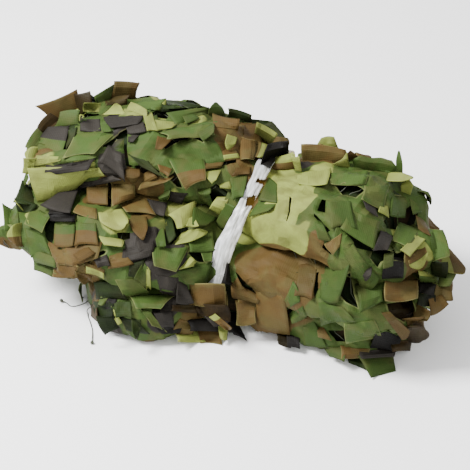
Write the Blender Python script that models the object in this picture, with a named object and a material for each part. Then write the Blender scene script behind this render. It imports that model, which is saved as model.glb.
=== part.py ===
"""A leaf-cut camouflage net, folded into a bundle of three stacked folds and tied round its waist.

The net is one solid: the folded cloth with the leaves that are cut in it, each still hanging by one edge.
The film strip that ties it, and two loose ends of the backing cord with their knots, are solids of their own.
"""
import math
import random

import bmesh
import bpy
from mathutils import Matrix, Vector, geometry
from mathutils.bvhtree import BVHTree

# Driving dimensions, in metres. +X runs along the bundle, -Y is its front and +Z is up.
# The cloth is laid out in cells along and across the bundle. Each fold has a row of cells round its middle,
# between two narrow rows that turn in to the folds next to it. The middle fold's upper one is split in two,
# because there it is a broad shelf in front of the top fold.
CELLS_LONG = 13
CELLS_WIDE = 5
FOLD_COUNT = 3
ROW_LINES = (0.0, 0.18, 0.82, 1.0, 1.18, 1.82, 1.91, 2.0, 2.18, 2.82, 3.0)    # in folds from the floor
ROW_SHAKE = 0.05
WAIST = (7, 8)            # the cell columns that the strap lies between
WAIST_MIDDLE = sum(WAIST) / 2

SHEET = 0.0020            # cloth and leaves
MARGIN = 0.0050           # whole cloth left round each cut
RECESS = 0.0080           # from the cloth to the layer under it
RECESS_TAPER = 0.70
GROOVE = 0.026            # how far the cloth turns in between two folds
WAIST_FILL = 0.6          # share of the groove that the tie presses out at the waist
WAIST_REACH = 1.4         # cells from the waist over which it does
ROUNDING = 0.030          # how far it turns in under the lowest fold and over the highest
CROWN = 0.010
END_BULGE = 0.018
END_BEND = (2.5, 5.0)     # cells from the waist between which the ends bend round with the grooves
CRUMPLE = 0.0050
SKEW_CELLS = 0.17

STRAP_WIDE = 0.030
STRAP_NARROW = 0.022
STRAP_THICK = 0.0010
STRAP_GAP = 0.0006
STRAP_CLEAR = 3           # leaves keep clear of a band this many times as thick as the strap
CORNER_SPREAD = 0.3       # least share of the gap at the strap's sharp corners

CORD_THICK = 0.0012
KNOT_SIZE = 0.0044
CORD_STEP = 2.5 * CORD_THICK    # between two points of a cord's curve
CURVE_STEPS = 20                # points read between two of a route's own
HALVINGS = 12                   # steps in finding where a cord leaves the cloth
TOUCH = 0.0003            # gap kept between two pieces that touch

# The folds, at stations counted in cells from the left end. x is where the station lies, front and back are
# the fold's faces there, and top is its upper side. lift is how far the drawn-in waist stands off the floor.
STATIONS = (0.0, 1.0, 3.5, 6.0, 7.0, 8.0, 9.5, 11.5, 12.5, 13.0)
LIFT = (0.0, 0.0, 0.0, 0.0, 0.012, 0.012, 0.0, 0.0, 0.0, 0.0)
FOLDS = (
    {
        "x": (-0.188, -0.165, -0.110, -0.045, -0.017, 0.017, 0.070, 0.155, 0.205, 0.222),
        "front": (-0.100, -0.145, -0.178, -0.162, -0.110, -0.095, -0.085, -0.090, -0.080, -0.055),
        "back": (0.060, 0.095, 0.115, 0.105, 0.085, 0.085, 0.095, 0.105, 0.095, 0.065),
        "top": (0.050, 0.058, 0.066, 0.062, 0.055, 0.055, 0.060, 0.064, 0.058, 0.052),
    },
    {
        "x": (-0.312, -0.286, -0.168, -0.055, -0.017, 0.017, 0.075, 0.185, 0.232, 0.247),
        "front": (-0.108, -0.148, -0.172, -0.140, -0.100, -0.090, -0.100, -0.112, -0.095, -0.060),
        "back": (0.075, 0.110, 0.140, 0.130, 0.105, 0.105, 0.125, 0.130, 0.115, 0.080),
        "top": (0.108, 0.122, 0.138, 0.130, 0.110, 0.108, 0.122, 0.128, 0.116, 0.102),
    },
    {
        "x": (-0.306, -0.280, -0.162, -0.055, -0.017, 0.017, 0.070, 0.165, 0.208, 0.222),
        "front": (-0.055, -0.080, -0.060, -0.025, -0.030, -0.040, -0.065, -0.085, -0.075, -0.045),
        "back": (0.085, 0.118, 0.134, 0.132, 0.118, 0.108, 0.117, 0.115, 0.102, 0.070),
        "top": (0.162, 0.184, 0.196, 0.186, 0.168, 0.162, 0.180, 0.186, 0.166, 0.140),
    },
)

# A leaf's three stations past its hinge: how far out over the cut, how high off the cloth, and how wide, as
# shares of its length and of its hinge. Share is how often the kind is met.
LEAF_KINDS = {
    "lying": {"share": 0.40, "out": (0.10, 0.55, 1.00), "high": (0.12, 0.17, 0.20), "wide": (0.96, 1.30, 0.75)},
    "lifted": {"share": 0.34, "out": (0.12, 0.52, 0.95), "high": (0.12, 0.30, 0.50), "wide": (0.96, 1.20, 0.50)},
    "curled": {"share": 0.14, "out": (0.14, 0.46, 0.34), "high": (0.14, 0.36, 0.68), "wide": (0.96, 1.10, 0.50)},
    "folded": {"share": 0.12, "out": (0.10, 0.04, -0.62), "high": (0.10, 0.26, 0.30), "wide": (0.96, 1.05, 0.65)},
    "spread": {"share": 0.00, "out": (0.02, -0.03, -0.06), "high": (0.30, 0.65, 1.00), "wide": (1.00, 1.10, 0.60)},
}
LEAF_LENGTHS = (0.042, 0.060)
LEAF_SKEW = 0.014
LEAF_FREE = 0.25          # share of a leaf's first stretch that still lies against its hinge
# Which way leaves hang: they turn by TURN_SWING radians each way along the bundle, and fall by LEAF_FALL.
TURN_SWING = 1.1
TURN_PER_CELL = 0.8
LEAF_FALL = 1.2
# The leaves that stand out at the bundle's edges, by the middle of their cell. Each is cut before the others.
EDGE_LEAVES = {
    (0.0, 4.5, 2.91): {"kind": "lifted", "toward": (-1.0, -0.1, 0.4), "length": 0.064},
    (1.5, 5.0, 2.91): {"kind": "lifted", "toward": (0.3, 0.6, 0.5), "length": 0.046},
    (0.5, 0.0, 1.5): {"kind": "curled", "toward": (-1.0, -0.2, -0.3), "length": 0.046},
    (0.5, 0.0, 0.5): {"kind": "lying", "toward": (0.2, -0.4, -1.0), "length": 0.034},
    (0.0, 0.5, 0.5): {"kind": "lying", "toward": (0.2, -0.4, -1.0), "length": 0.034},
    (1.5, 0.0, 0.5): {"kind": "lying", "toward": (1.0, -0.4, -0.3), "length": 0.040},
    (9.5, 5.0, 2.91): {"kind": "lifted", "toward": (0.2, 0.5, 1.0), "length": 0.050},
    (11.5, 5.0, 2.91): {"kind": "lifted", "toward": (0.3, 0.6, 0.6), "length": 0.052},
    (12.5, 5.0, 2.5): {"kind": "lying", "toward": (0.2, 0.2, 1.0), "length": 0.050},
    (13.0, 4.5, 1.5): {"kind": "lifted", "toward": (0.6, 0.8, 0.0), "length": 0.070},
    (13.0, 3.5, 1.5): {"kind": "lifted", "toward": (0.3, 0.3, -1.0), "length": 0.050},
    (5.5, 0.0, 0.5): {"kind": "spread", "toward": (0.0, -0.2, 1.0), "length": 0.030},
    (6.5, 0.0, 0.5): {"kind": "spread", "toward": (0.0, -0.2, 1.0), "length": 0.056},
    (11.5, 0.0, 0.5): {"kind": "spread", "toward": (0.0, -0.2, 1.0), "length": 0.036},
    (12.5, 0.0, 0.5): {"kind": "spread", "toward": (0.0, -0.2, 1.0), "length": 0.055},
}
LEAST_CUT = 0.0112        # half the breadth of the narrowest cell that is cut
LONGEST_CUT = 0.090
WHOLE_SHARE = 0.05        # cells whose cloth is left uncut
TRIES = 9
SHORTER = 0.90
HIGHER = 0.0014


# The two loose ends of the backing cord that show at the lowest fold's left end. Each route starts inside the
# cloth, leaves it, and runs over the floor to its knot.
CORD_ROUTES = {
    "left": (
        (-0.1500, -0.1050, 0.0140),
        (-0.1745, -0.1113, 0.0060),
        (-0.1830, -0.1235, 0.0008),
        (-0.1935, -0.1350, 0.0008),
        (-0.2037, -0.1321, 0.0008),
        (-0.2090, -0.1325, 0.0022),
    ),
    "front": (
        (-0.1480, -0.1150, 0.0140),
        (-0.1685, -0.1335, 0.0060),
        (-0.1660, -0.1410, 0.0008),
        (-0.1545, -0.1535, 0.0008),
        (-0.1440, -0.1660, 0.0008),
        (-0.1330, -0.1850, 0.0022),
    ),
}


def clear_scene():
    for item in list(bpy.data.objects):
        bpy.data.objects.remove(item, do_unlink=True)


def finish_material(name, colour, roughness):
    material = bpy.data.materials.new(name)
    material.use_nodes = True
    shader = material.node_tree.nodes["Principled BSDF"]
    shader.inputs["Base Color"].default_value = (*colour, 1.0)
    shader.inputs["Roughness"].default_value = roughness
    shader.inputs["Metallic"].default_value = 0.0
    return material


def new_object(name, bm, material):
    mesh = bpy.data.meshes.new(name)
    bm.to_mesh(mesh)
    bm.free()
    mesh.materials.append(material)
    item = bpy.data.objects.new(name, mesh)
    bpy.context.scene.collection.objects.link(item)
    return item


def between(values, a):
    """The value at cell coordinate a, on straight lines between the stations."""
    for i in range(len(STATIONS) - 1):
        if a <= STATIONS[i + 1]:
            share = (a - STATIONS[i]) / (STATIONS[i + 1] - STATIONS[i])
            return values[i] + (values[i + 1] - values[i]) * share
    return values[-1]


def place(a, b, c):
    """Where a point of the folded cloth lies: a cells along, b cells across from the front, c folds up."""
    fold = min(int(c), FOLD_COUNT - 1)
    height = 2 * (c - fold) - 1
    bow = 1 - math.sqrt(max(0.0, 1 - height * height))
    other = min(max(fold + (1 if height > 0 else -1), 0), FOLD_COUNT - 1)
    waist = math.exp(-((a - WAIST_MIDDLE) / WAIST_REACH) ** 2)
    turn = ROUNDING if other == fold else GROOVE * (1 - WAIST_FILL * waist)

    def face(column, sign):
        own = between(FOLDS[fold][column], a)
        next_one = between(FOLDS[other][column], a)
        edge = sign * max(sign * own, sign * next_one) + sign * turn
        return own + (edge - own) * bow

    front = face("front", 1)
    back = face("back", -1)
    y = front + (back - front) * b / CELLS_WIDE
    left_side = a < WAIST_MIDDLE
    tip = face("x", 1 if left_side else -1)
    x = between(FOLDS[fold]["x"], a)
    end_share = (abs(a - WAIST_MIDDLE) - END_BEND[0]) / (END_BEND[1] - END_BEND[0])
    end_share = min(max(end_share, 0.0), 1.0)
    x += (tip - x) * end_share
    across = 2 * b / CELLS_WIDE - 1
    if a == 0 or a == CELLS_LONG:
        x += (-1 if left_side else 1) * END_BULGE * (1 - across * across) * (1 - bow)
    low = between(LIFT, a) if fold == 0 else between(FOLDS[fold - 1]["top"], a)
    z = low + (between(FOLDS[fold]["top"], a) - low) * (height + 1) / 2
    if c == FOLD_COUNT:
        z += CROWN * (1 - across * across)
    return Vector((x, y, z))


def shaken(a, b, c):
    """The cell corner moved a little, so that no two cells are alike. Waist, base and grooves stay put."""
    draw = random.Random(f"corner {a:.1f} {b:.1f} {c:.2f}")
    if a in WAIST:
        return place(a, b, c)
    if 0 < a < CELLS_LONG:
        a += draw.uniform(-SKEW_CELLS, SKEW_CELLS)
    if 0 < b < CELLS_WIDE:
        b += draw.uniform(-SKEW_CELLS, SKEW_CELLS)
    if c != int(c):
        c += draw.uniform(-ROW_SHAKE, ROW_SHAKE) / 2
    return place(a, b, c)


def folded_cloth():
    """The folded form, as a closed box of cells that is bent to the folds. Returns it and its open cells."""
    bm = bmesh.new()
    bmesh.ops.create_cube(bm, size=1.0)
    bmesh.ops.translate(bm, verts=bm.verts, vec=(0.5, 0.5, 0.5))
    bmesh.ops.scale(bm, verts=bm.verts, vec=(CELLS_LONG, CELLS_WIDE, FOLD_COUNT))
    cuts = [(Vector((1, 0, 0)), a) for a in range(1, CELLS_LONG)]
    cuts += [(Vector((0, 1, 0)), b) for b in range(1, CELLS_WIDE)]
    cuts += [(Vector((0, 0, 1)), c) for c in ROW_LINES[1:-1]]
    for normal, reach in cuts:
        everything = bm.verts[:] + bm.edges[:] + bm.faces[:]
        bmesh.ops.bisect_plane(bm, geom=everything, plane_co=normal * reach, plane_no=normal)
    names = {face: tuple(round(value, 2) for value in face.calc_center_median()) for face in bm.faces}
    still = {}
    for vert in bm.verts:
        a, b = round(vert.co.x), round(vert.co.y)
        c = round(vert.co.z, 2)
        still[vert] = c == 0 or a in WAIST
        vert.co = shaken(a, b, c)
    bm.normal_update()
    moves = {}
    for vert in bm.verts:
        draw = random.Random(f"crumple {vert.co.x:.4f} {vert.co.y:.4f} {vert.co.z:.4f}")
        moves[vert] = vert.normal * (0.0 if still[vert] else draw.uniform(-CRUMPLE, CRUMPLE))
    for vert, move in moves.items():
        vert.co += move
    bm.normal_update()
    cells = {}
    for face, (a, b, c) in names.items():
        at_waist = WAIST[0] < a < WAIST[1]
        whole = random.Random(f"whole {a} {b} {c}").random() < WHOLE_SHARE
        centre = face.calc_center_median()
        reach = min(((edge.verts[0].co + edge.verts[1].co) / 2 - centre).length for edge in face.edges)
        longest = max(edge.calc_length() for edge in face.edges)
        fits = reach > LEAST_CUT and longest < LONGEST_CUT
        if c > ROW_LINES[1] and fits and not at_waist and not whole:
            cells[face] = (a, b, c)
    return bm, cells


def cut_cells(bm, cells):
    """Cuts each open cell: its rim, the cloth's thickness, and the space down to the next layer."""
    bmesh.ops.inset_individual(bm, faces=list(cells), thickness=MARGIN, use_even_offset=True)
    cuts = {}
    for face, name in cells.items():
        normal = face.normal.copy()
        back = bmesh.ops.extrude_discrete_faces(bm, faces=[face])["faces"][0]
        bmesh.ops.translate(bm, verts=back.verts, vec=-normal * SHEET)
        walls = [next(f for f in edge.link_faces if f != back) for edge in back.edges]
        hinges = []
        for wall in walls:
            rim = [vert for vert in wall.verts if vert not in back.verts[:]]
            hinges.append({"wall": wall, "rim": rim, "middle": (rim[0].co + rim[1].co) / 2})
        floor = bmesh.ops.extrude_discrete_faces(bm, faces=[back])["faces"][0]
        centre = floor.calc_center_median()
        for vert in floor.verts:
            vert.co = centre + (vert.co - centre) * RECESS_TAPER - normal * (RECESS - SHEET)
        cuts[name] = {"normal": normal, "hinges": hinges, "centre": centre + normal * SHEET}
    bm.normal_update()
    return cuts


def out_over_cut(hinge, cut):
    """The direction in the cloth from a hinge out over its cut."""
    out = cut["centre"] - hinge["middle"]
    out -= cut["normal"] * out.dot(cut["normal"])
    return out.normalized()


def leaf_sections(hinge, cut, kind, length, skew, lift):
    """The leaf's cross-sections past its hinge, each with four corners keyed by the wall's own corners."""
    normal = cut["normal"]
    out = out_over_cut(hinge, cut)
    side = normal.cross(out)
    rim = hinge["rim"]
    breadth = (rim[0].co - rim[1].co).length
    path = [(0.0, 0.0)] + [(o * length, h * length + lift) for o, h in zip(kind["out"], kind["high"])]
    sections = []
    for i in range(1, len(path)):
        before = Vector(path[i]) - Vector(path[i - 1])
        after = Vector(path[i + 1]) - Vector(path[i]) if i + 1 < len(path) else before
        ahead = (before.normalized() + after.normalized()).normalized()
        inward = (out * ahead.y - normal * ahead.x) * SHEET
        half = breadth * kind["wide"][i - 1] / 2
        centre = hinge["middle"] + out * path[i][0] + normal * path[i][1] + side * skew * i / 3
        section = {}
        for vert in hinge["wall"].verts:
            sign = 1 if (vert.co - hinge["middle"]).dot(side) > 0 else -1
            section[vert] = centre + side * half * sign + (Vector() if vert in rim else inward)
        sections.append(section)
    return sections


def leaf_tree(wall, sections):
    """The leaf's faces, from just past its hinge, for testing what it would run into."""
    order = [loop.vert for loop in wall.loops]
    start = {vert: vert.co.lerp(sections[0][vert], LEAF_FREE) for vert in order}
    rings = [start] + sections
    points = [ring[vert] for ring in rings for vert in order]
    faces = []
    for i in range(len(rings) - 1):
        for j in range(4):
            k = (j + 1) % 4
            faces.append((4 * i + j, 4 * i + k, 4 * i + 4 + k, 4 * i + 4 + j))
    last = 4 * (len(rings) - 1)
    faces.append((last, last + 1, last + 2, last + 3))
    return BVHTree.FromPolygons(points, faces, epsilon=0.0), points


def leaf_plan(name, cut):
    """How the leaf in one cell hangs. Neighbours hang much the same way, and on the sides most hang down."""
    draw = random.Random(f"leaf {name}")
    turn = TURN_SWING * math.sin(TURN_PER_CELL * name[0]) + draw.uniform(-1.0, 1.0)
    shares = [kind["share"] for kind in LEAF_KINDS.values()]
    plan = {
        "kind": draw.choices(list(LEAF_KINDS), shares)[0],
        "toward": (math.cos(turn), math.sin(turn), -LEAF_FALL),
        "length": draw.uniform(*LEAF_LENGTHS),
        "skew": draw.uniform(-LEAF_SKEW, LEAF_SKEW),
    }
    plan.update(EDGE_LEAVES.get(name, {}))
    wish = Vector(plan["toward"])
    plan["hinge"] = max(cut["hinges"], key=lambda hinge: out_over_cut(hinge, cut).dot(wish))
    return plan


def cut_leaves(bm, cuts, strap_tree):
    """Leaves each cut piece hanging by one edge, lifted or shortened until it runs into nothing."""
    ground = BVHTree.FromBMesh(bm)
    grown = []
    order = sorted(cuts, key=lambda name: (name not in EDGE_LEAVES, name))
    for name in order:
        plan = leaf_plan(name, cuts[name])
        kind = LEAF_KINDS[plan["kind"]]
        length = plan["length"]
        lift = 0.0
        for _ in range(TRIES):
            sections = leaf_sections(plan["hinge"], cuts[name], kind, length, plan["skew"], lift)
            tree, points = leaf_tree(plan["hinge"]["wall"], sections)
            clear = min(point.z for point in points) > SHEET
            clear = clear and not tree.overlap(ground) and not tree.overlap(strap_tree)
            clear = clear and not any(tree.overlap(other) for other in grown)
            if clear:
                grown.append(tree)
                cuts[name]["leaf"] = sections
                break
            length *= SHORTER
            lift += HIGHER
    for name in order:
        if "leaf" in cuts[name]:
            grow_leaf(bm, leaf_plan(name, cuts[name])["hinge"]["wall"], cuts[name]["leaf"])


def grow_leaf(bm, face, sections):
    """Extrudes a leaf from its hinge through its sections."""
    names = {vert: vert for vert in face.verts}
    for section in sections:
        known = [(vert.co.copy(), name) for vert, name in names.items()]
        face = bmesh.ops.extrude_discrete_faces(bm, faces=[face])["faces"][0]
        names = {}
        for vert in face.verts:
            names[vert] = min(known, key=lambda item: (item[0] - vert.co).length)[1]
        for vert, name in names.items():
            vert.co = section[name]


def strap_band():
    """The film strip's inner face: a taut loop round the waist's cross-section."""
    points = []
    for a in WAIST:
        for b in range(CELLS_WIDE + 1):
            for c in ROW_LINES:
                spot = place(a, b, c)
                points.append(Vector((spot.y, spot.z)))
    ring = [points[i] for i in geometry.convex_hull_2d(points)]
    bm = bmesh.new()
    verts = []
    for i, point in enumerate(ring):
        before = (point - ring[i - 1]).normalized()
        after = (ring[(i + 1) % len(ring)] - point).normalized()
        outward = Vector((before.y + after.y, -before.x - after.x)).normalized()
        reach = STRAP_GAP / max(CORNER_SPREAD, outward.dot(Vector((after.y, -after.x))))
        verts.append(bm.verts.new((0.0, *(point + outward * reach))))
    edges = [bm.edges.new((verts[i], verts[(i + 1) % len(verts)])) for i in range(len(verts))]
    grown = bmesh.ops.extrude_edge_only(bm, edges=edges)["geom"]
    right = {item for item in grown if isinstance(item, bmesh.types.BMVert)}
    top = max(vert.co.z for vert in bm.verts)
    for vert in bm.verts:
        half = (STRAP_WIDE + (STRAP_NARROW - STRAP_WIDE) * (vert.co.z / top) ** 2) / 2
        vert.co.x = half if vert in right else -half
    bm.normal_update()
    middle = Vector((0.0, sum(p.x for p in ring) / len(ring), sum(p.y for p in ring) / len(ring)))
    first = bm.faces[:][0]
    if first.normal.dot(first.calc_center_median() - middle) < 0:
        bmesh.ops.reverse_faces(bm, faces=bm.faces)
    return bm


def tie_strap():
    item = new_object("tie_strap", strap_band(), finish_material("strap_film", (0.72, 0.76, 0.62), 0.30))
    film = item.modifiers.new("film thickness", "SOLIDIFY")
    film.thickness = STRAP_THICK
    film.offset = 1.0
    film.use_even_offset = True
    return item


def net_bundle():
    bm, cells = folded_cloth()
    cuts = cut_cells(bm, cells)
    band = strap_band()
    bmesh.ops.solidify(band, geom=band.faces[:], thickness=-STRAP_CLEAR * STRAP_THICK)
    cut_leaves(bm, cuts, BVHTree.FromBMesh(band))
    band.free()
    bmesh.ops.triangulate(bm, faces=bm.faces)
    return new_object("net_bundle", bm, finish_material("leaf_cloth", (0.13, 0.19, 0.06), 0.85))


def smooth_route(points, step):
    """Points at even steps along a smooth curve through a cord's route."""
    ends = [2 * points[0] - points[1]] + points + [2 * points[-1] - points[-2]]
    fine = []
    for i in range(1, len(ends) - 2):
        for j in range(CURVE_STEPS):
            t = j / CURVE_STEPS
            p0, p1, p2, p3 = ends[i - 1:i + 3]
            bend = (2 * p0 - 5 * p1 + 4 * p2 - p3) * t * t + (3 * p1 - p0 - 3 * p2 + p3) * t ** 3
            fine.append(p1 + ((p2 - p0) * t + bend) / 2)
    fine.append(points[-1])
    samples = [fine[0]]
    gone = 0.0
    for before, after in zip(fine, fine[1:]):
        gone += (after - before).length
        if gone >= step:
            samples.append(after)
            gone = 0.0
    samples[-1] = fine[-1]
    return samples


def outside_cloth(samples, cloth_tree):
    """The samples from where the cord leaves the cloth, starting just clear of it."""
    def clear_of(point):
        spot, normal = cloth_tree.find_nearest(point)[:2]
        way = point - spot
        return way.dot(normal) > 0 and way.length > CORD_THICK / 2 + TOUCH

    last_in = max(i for i, point in enumerate(samples) if not clear_of(point))
    inside, outside = samples[last_in], samples[last_in + 1]
    for _ in range(HALVINGS):
        middle = (inside + outside) / 2
        if clear_of(middle):
            outside = middle
        else:
            inside = middle
    return [outside] + samples[last_in + 2:]


def loose_cord(name, route, cloth_tree):
    """A loose end of the backing cord, laid on the floor, and the knot at its end."""
    material = finish_material(f"cord_{name}", (0.05, 0.06, 0.04), 0.80)
    samples = smooth_route([Vector(point) for point in route], CORD_STEP)
    samples = outside_cloth(samples, cloth_tree)
    curve = bpy.data.curves.new(f"cord_end_{name}", "CURVE")
    curve.dimensions = "3D"
    curve.bevel_depth = CORD_THICK / 2
    curve.bevel_resolution = 2
    curve.use_fill_caps = True
    spline = curve.splines.new("POLY")
    spline.points.add(len(samples) - 1)
    for spot, point in zip(spline.points, samples):
        spot.co = (*point, 1.0)
    curve.materials.append(material)
    cord = bpy.data.objects.new(f"cord_end_{name}", curve)
    bpy.context.scene.collection.objects.link(cord)
    ahead = (samples[-1] - samples[-2]).normalized()
    centre = samples[-1] + ahead * (KNOT_SIZE / 2 + TOUCH)
    centre.z = max(centre.z, KNOT_SIZE / 2)
    bm = bmesh.new()
    bmesh.ops.create_icosphere(bm, subdivisions=2, radius=KNOT_SIZE / 2)
    bmesh.ops.translate(bm, verts=bm.verts, vec=centre)
    knot = new_object(f"cord_knot_{name}", bm, material)
    return [cord, knot]


def stand_on_origin(items, cords):
    """Moves all pieces so that the origin lies under the middle of the bundle's box, its cord ends apart."""
    bpy.context.view_layer.update()
    graph = bpy.context.evaluated_depsgraph_get()
    points = []
    for item in items:
        points += [vert.co.copy() for vert in item.evaluated_get(graph).data.vertices]
    low = Vector([min(point[i] for point in points) for i in range(3)])
    high = Vector([max(point[i] for point in points) for i in range(3)])
    shift = Vector((-(low.x + high.x) / 2, -(low.y + high.y) / 2, -low.z))
    for item in items + cords:
        item.data.transform(Matrix.Translation(shift))


clear_scene()
bundle = net_bundle()
strap = tie_strap()
bundle_faces = [polygon.vertices[:] for polygon in bundle.data.polygons]
bundle_tree = BVHTree.FromPolygons([vert.co for vert in bundle.data.vertices], bundle_faces)
cord_pieces = []
for cord_name, cord_route in CORD_ROUTES.items():
    cord_pieces += loose_cord(cord_name, cord_route, bundle_tree)
stand_on_origin([bundle, strap], cord_pieces)
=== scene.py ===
"""The looks of a leaf-cut camouflage net, folded into three stacked folds and tied round its waist."""
import math
import random

import bmesh
import bpy
import numpy as np
from mathutils import Matrix, Vector, geometry, noise
from mathutils.bvhtree import BVHTree


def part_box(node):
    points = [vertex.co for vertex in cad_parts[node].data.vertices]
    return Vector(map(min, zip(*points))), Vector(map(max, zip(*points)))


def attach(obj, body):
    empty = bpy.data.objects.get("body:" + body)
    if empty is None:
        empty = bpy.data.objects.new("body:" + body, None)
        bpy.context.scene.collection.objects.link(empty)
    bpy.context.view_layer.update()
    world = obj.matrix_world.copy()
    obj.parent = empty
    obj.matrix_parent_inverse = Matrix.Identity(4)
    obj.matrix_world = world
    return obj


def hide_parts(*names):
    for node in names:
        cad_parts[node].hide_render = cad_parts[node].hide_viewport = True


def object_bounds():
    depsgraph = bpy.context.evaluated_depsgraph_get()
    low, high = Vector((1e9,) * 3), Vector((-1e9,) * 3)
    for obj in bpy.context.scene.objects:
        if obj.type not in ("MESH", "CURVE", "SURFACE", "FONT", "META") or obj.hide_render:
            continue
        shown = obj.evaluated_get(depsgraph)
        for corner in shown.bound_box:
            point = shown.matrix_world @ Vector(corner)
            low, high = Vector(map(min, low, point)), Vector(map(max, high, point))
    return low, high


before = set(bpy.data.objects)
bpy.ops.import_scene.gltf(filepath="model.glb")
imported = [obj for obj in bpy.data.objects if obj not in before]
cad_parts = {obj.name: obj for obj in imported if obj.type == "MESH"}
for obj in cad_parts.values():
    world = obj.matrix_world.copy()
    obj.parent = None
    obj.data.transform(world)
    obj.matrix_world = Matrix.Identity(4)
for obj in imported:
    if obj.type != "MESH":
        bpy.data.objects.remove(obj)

cad_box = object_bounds()

# The folded form. The net is folded back and forth into three stacked folds and drawn in at its waist. It is
# laid out in cells of about 45 mm along and across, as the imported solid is, and the folds' faces follow the
# solid's own stations. Everything below is draped on this form.
CELLS_LONG = 13
CELLS_WIDE = 5
FOLD_COUNT = 3
ROW_LINES = (0.0, 0.18, 0.82, 1.0, 1.18, 1.82, 1.91, 2.0, 2.18, 2.82, 3.0)    # in folds up from the floor
ROW_SHAKE = 0.05              # twice the most that a cell's corner is moved up or down, in folds
SKEW_CELLS = 0.17             # the most that it is moved along or across, in cells
CRUMPLE = 0.0050              # and in or out, in metres
WAIST = (7, 8)                # the tie lies between these two lines of cells
WAIST_MIDDLE = sum(WAIST) / 2
WAIST_FILL = 0.6              # share of the grooves' depth that is lost at the waist
WAIST_REACH = 1.4             # cells over which it comes back
GROOVE = 0.026                # how far the cloth turns in between two folds
ROUNDING = 0.030              # and at the floor and the top
CROWN = 0.010                 # how far the top bulges up
END_BULGE = 0.018             # and each end outwards
END_BEND = (2.5, 5.0)         # cells from the waist's middle over which the folds round off lengthwise too
STATIONS = (0.0, 1.0, 3.5, 6.0, 7.0, 8.0, 9.5, 11.5, 12.5, 13.0)    # lines of cells where each fold is given
LIFT = (0.0, 0.0, 0.0, 0.0, 0.012, 0.012, 0.0, 0.0, 0.0, 0.0)       # height of the underside there
# The folds from the floor up: how far along the lines of cells lie, the front and the back face, and the top.
FOLDS = (
    {
        "x": (-0.188, -0.165, -0.110, -0.045, -0.017, 0.017, 0.070, 0.155, 0.205, 0.222),
        "front": (-0.100, -0.145, -0.178, -0.162, -0.110, -0.095, -0.085, -0.090, -0.080, -0.055),
        "back": (0.060, 0.095, 0.115, 0.105, 0.085, 0.085, 0.095, 0.105, 0.095, 0.065),
        "top": (0.050, 0.058, 0.066, 0.062, 0.055, 0.055, 0.060, 0.064, 0.058, 0.052),
    },
    {
        "x": (-0.312, -0.286, -0.168, -0.055, -0.017, 0.017, 0.075, 0.185, 0.232, 0.247),
        "front": (-0.108, -0.148, -0.172, -0.140, -0.100, -0.090, -0.100, -0.112, -0.095, -0.060),
        "back": (0.075, 0.110, 0.140, 0.130, 0.105, 0.105, 0.125, 0.130, 0.115, 0.080),
        "top": (0.108, 0.122, 0.138, 0.130, 0.110, 0.108, 0.122, 0.128, 0.116, 0.102),
    },
    {
        "x": (-0.306, -0.280, -0.162, -0.055, -0.017, 0.017, 0.070, 0.165, 0.208, 0.222),
        "front": (-0.055, -0.080, -0.060, -0.025, -0.030, -0.040, -0.065, -0.085, -0.075, -0.045),
        "back": (0.085, 0.118, 0.134, 0.132, 0.118, 0.108, 0.117, 0.115, 0.102, 0.070),
        "top": (0.162, 0.184, 0.196, 0.186, 0.168, 0.162, 0.180, 0.186, 0.166, 0.140),
    },
)


def between(values, a):
    """The value at cell coordinate a, on straight lines between the stations."""
    return float(np.interp(a, STATIONS, values))


def place(a, b, c):
    """Where a point of the folded cloth lies: a cells along, b cells across from the front, c folds up."""
    fold = min(int(c + 1e-6), FOLD_COUNT - 1)
    height = min(max(2 * (c - fold) - 1, -1.0), 1.0)
    bow = 1 - math.sqrt(1 - height * height)
    other = min(max(fold + (1 if height > 0 else -1), 0), FOLD_COUNT - 1)
    waist = math.exp(-((a - WAIST_MIDDLE) / WAIST_REACH) ** 2)
    turn = ROUNDING if other == fold else GROOVE * (1 - WAIST_FILL * waist)

    def face(column, sign):
        own = between(FOLDS[fold][column], a)
        next_one = between(FOLDS[other][column], a)
        edge = sign * max(sign * own, sign * next_one) + sign * turn
        return own + (edge - own) * bow

    front = face("front", 1)
    back = face("back", -1)
    y = front + (back - front) * b / CELLS_WIDE
    left_side = a < WAIST_MIDDLE
    tip = face("x", 1 if left_side else -1)
    x = between(FOLDS[fold]["x"], a)
    end_share = (abs(a - WAIST_MIDDLE) - END_BEND[0]) / (END_BEND[1] - END_BEND[0])
    x += (tip - x) * min(max(end_share, 0.0), 1.0)
    across = 2 * b / CELLS_WIDE - 1
    end = max(1 - a, a - CELLS_LONG + 1, 0.0)
    x += (-1 if left_side else 1) * END_BULGE * (1 - across * across) * (1 - bow) * end
    low = between(LIFT, a) if fold == 0 else between(FOLDS[fold - 1]["top"], a)
    z = low + (between(FOLDS[fold]["top"], a) - low) * (height + 1) / 2
    crown = max(0.0, (c - ROW_LINES[-2]) / (ROW_LINES[-1] - ROW_LINES[-2]))
    z += CROWN * (1 - across * across) * crown
    return Vector((x, y, z))


def shaken(a, b, c):
    """A cell's corner moved a little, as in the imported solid. Waist, base and grooves stay put."""
    draw = random.Random(f"corner {a:.1f} {b:.1f} {c:.2f}")
    if a in WAIST:
        return place(a, b, c)
    if 0 < a < CELLS_LONG:
        a += draw.uniform(-SKEW_CELLS, SKEW_CELLS)
    if 0 < b < CELLS_WIDE:
        b += draw.uniform(-SKEW_CELLS, SKEW_CELLS)
    if c != int(c):
        c += draw.uniform(-ROW_SHAKE, ROW_SHAKE) / 2
    return place(a, b, c)


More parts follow.
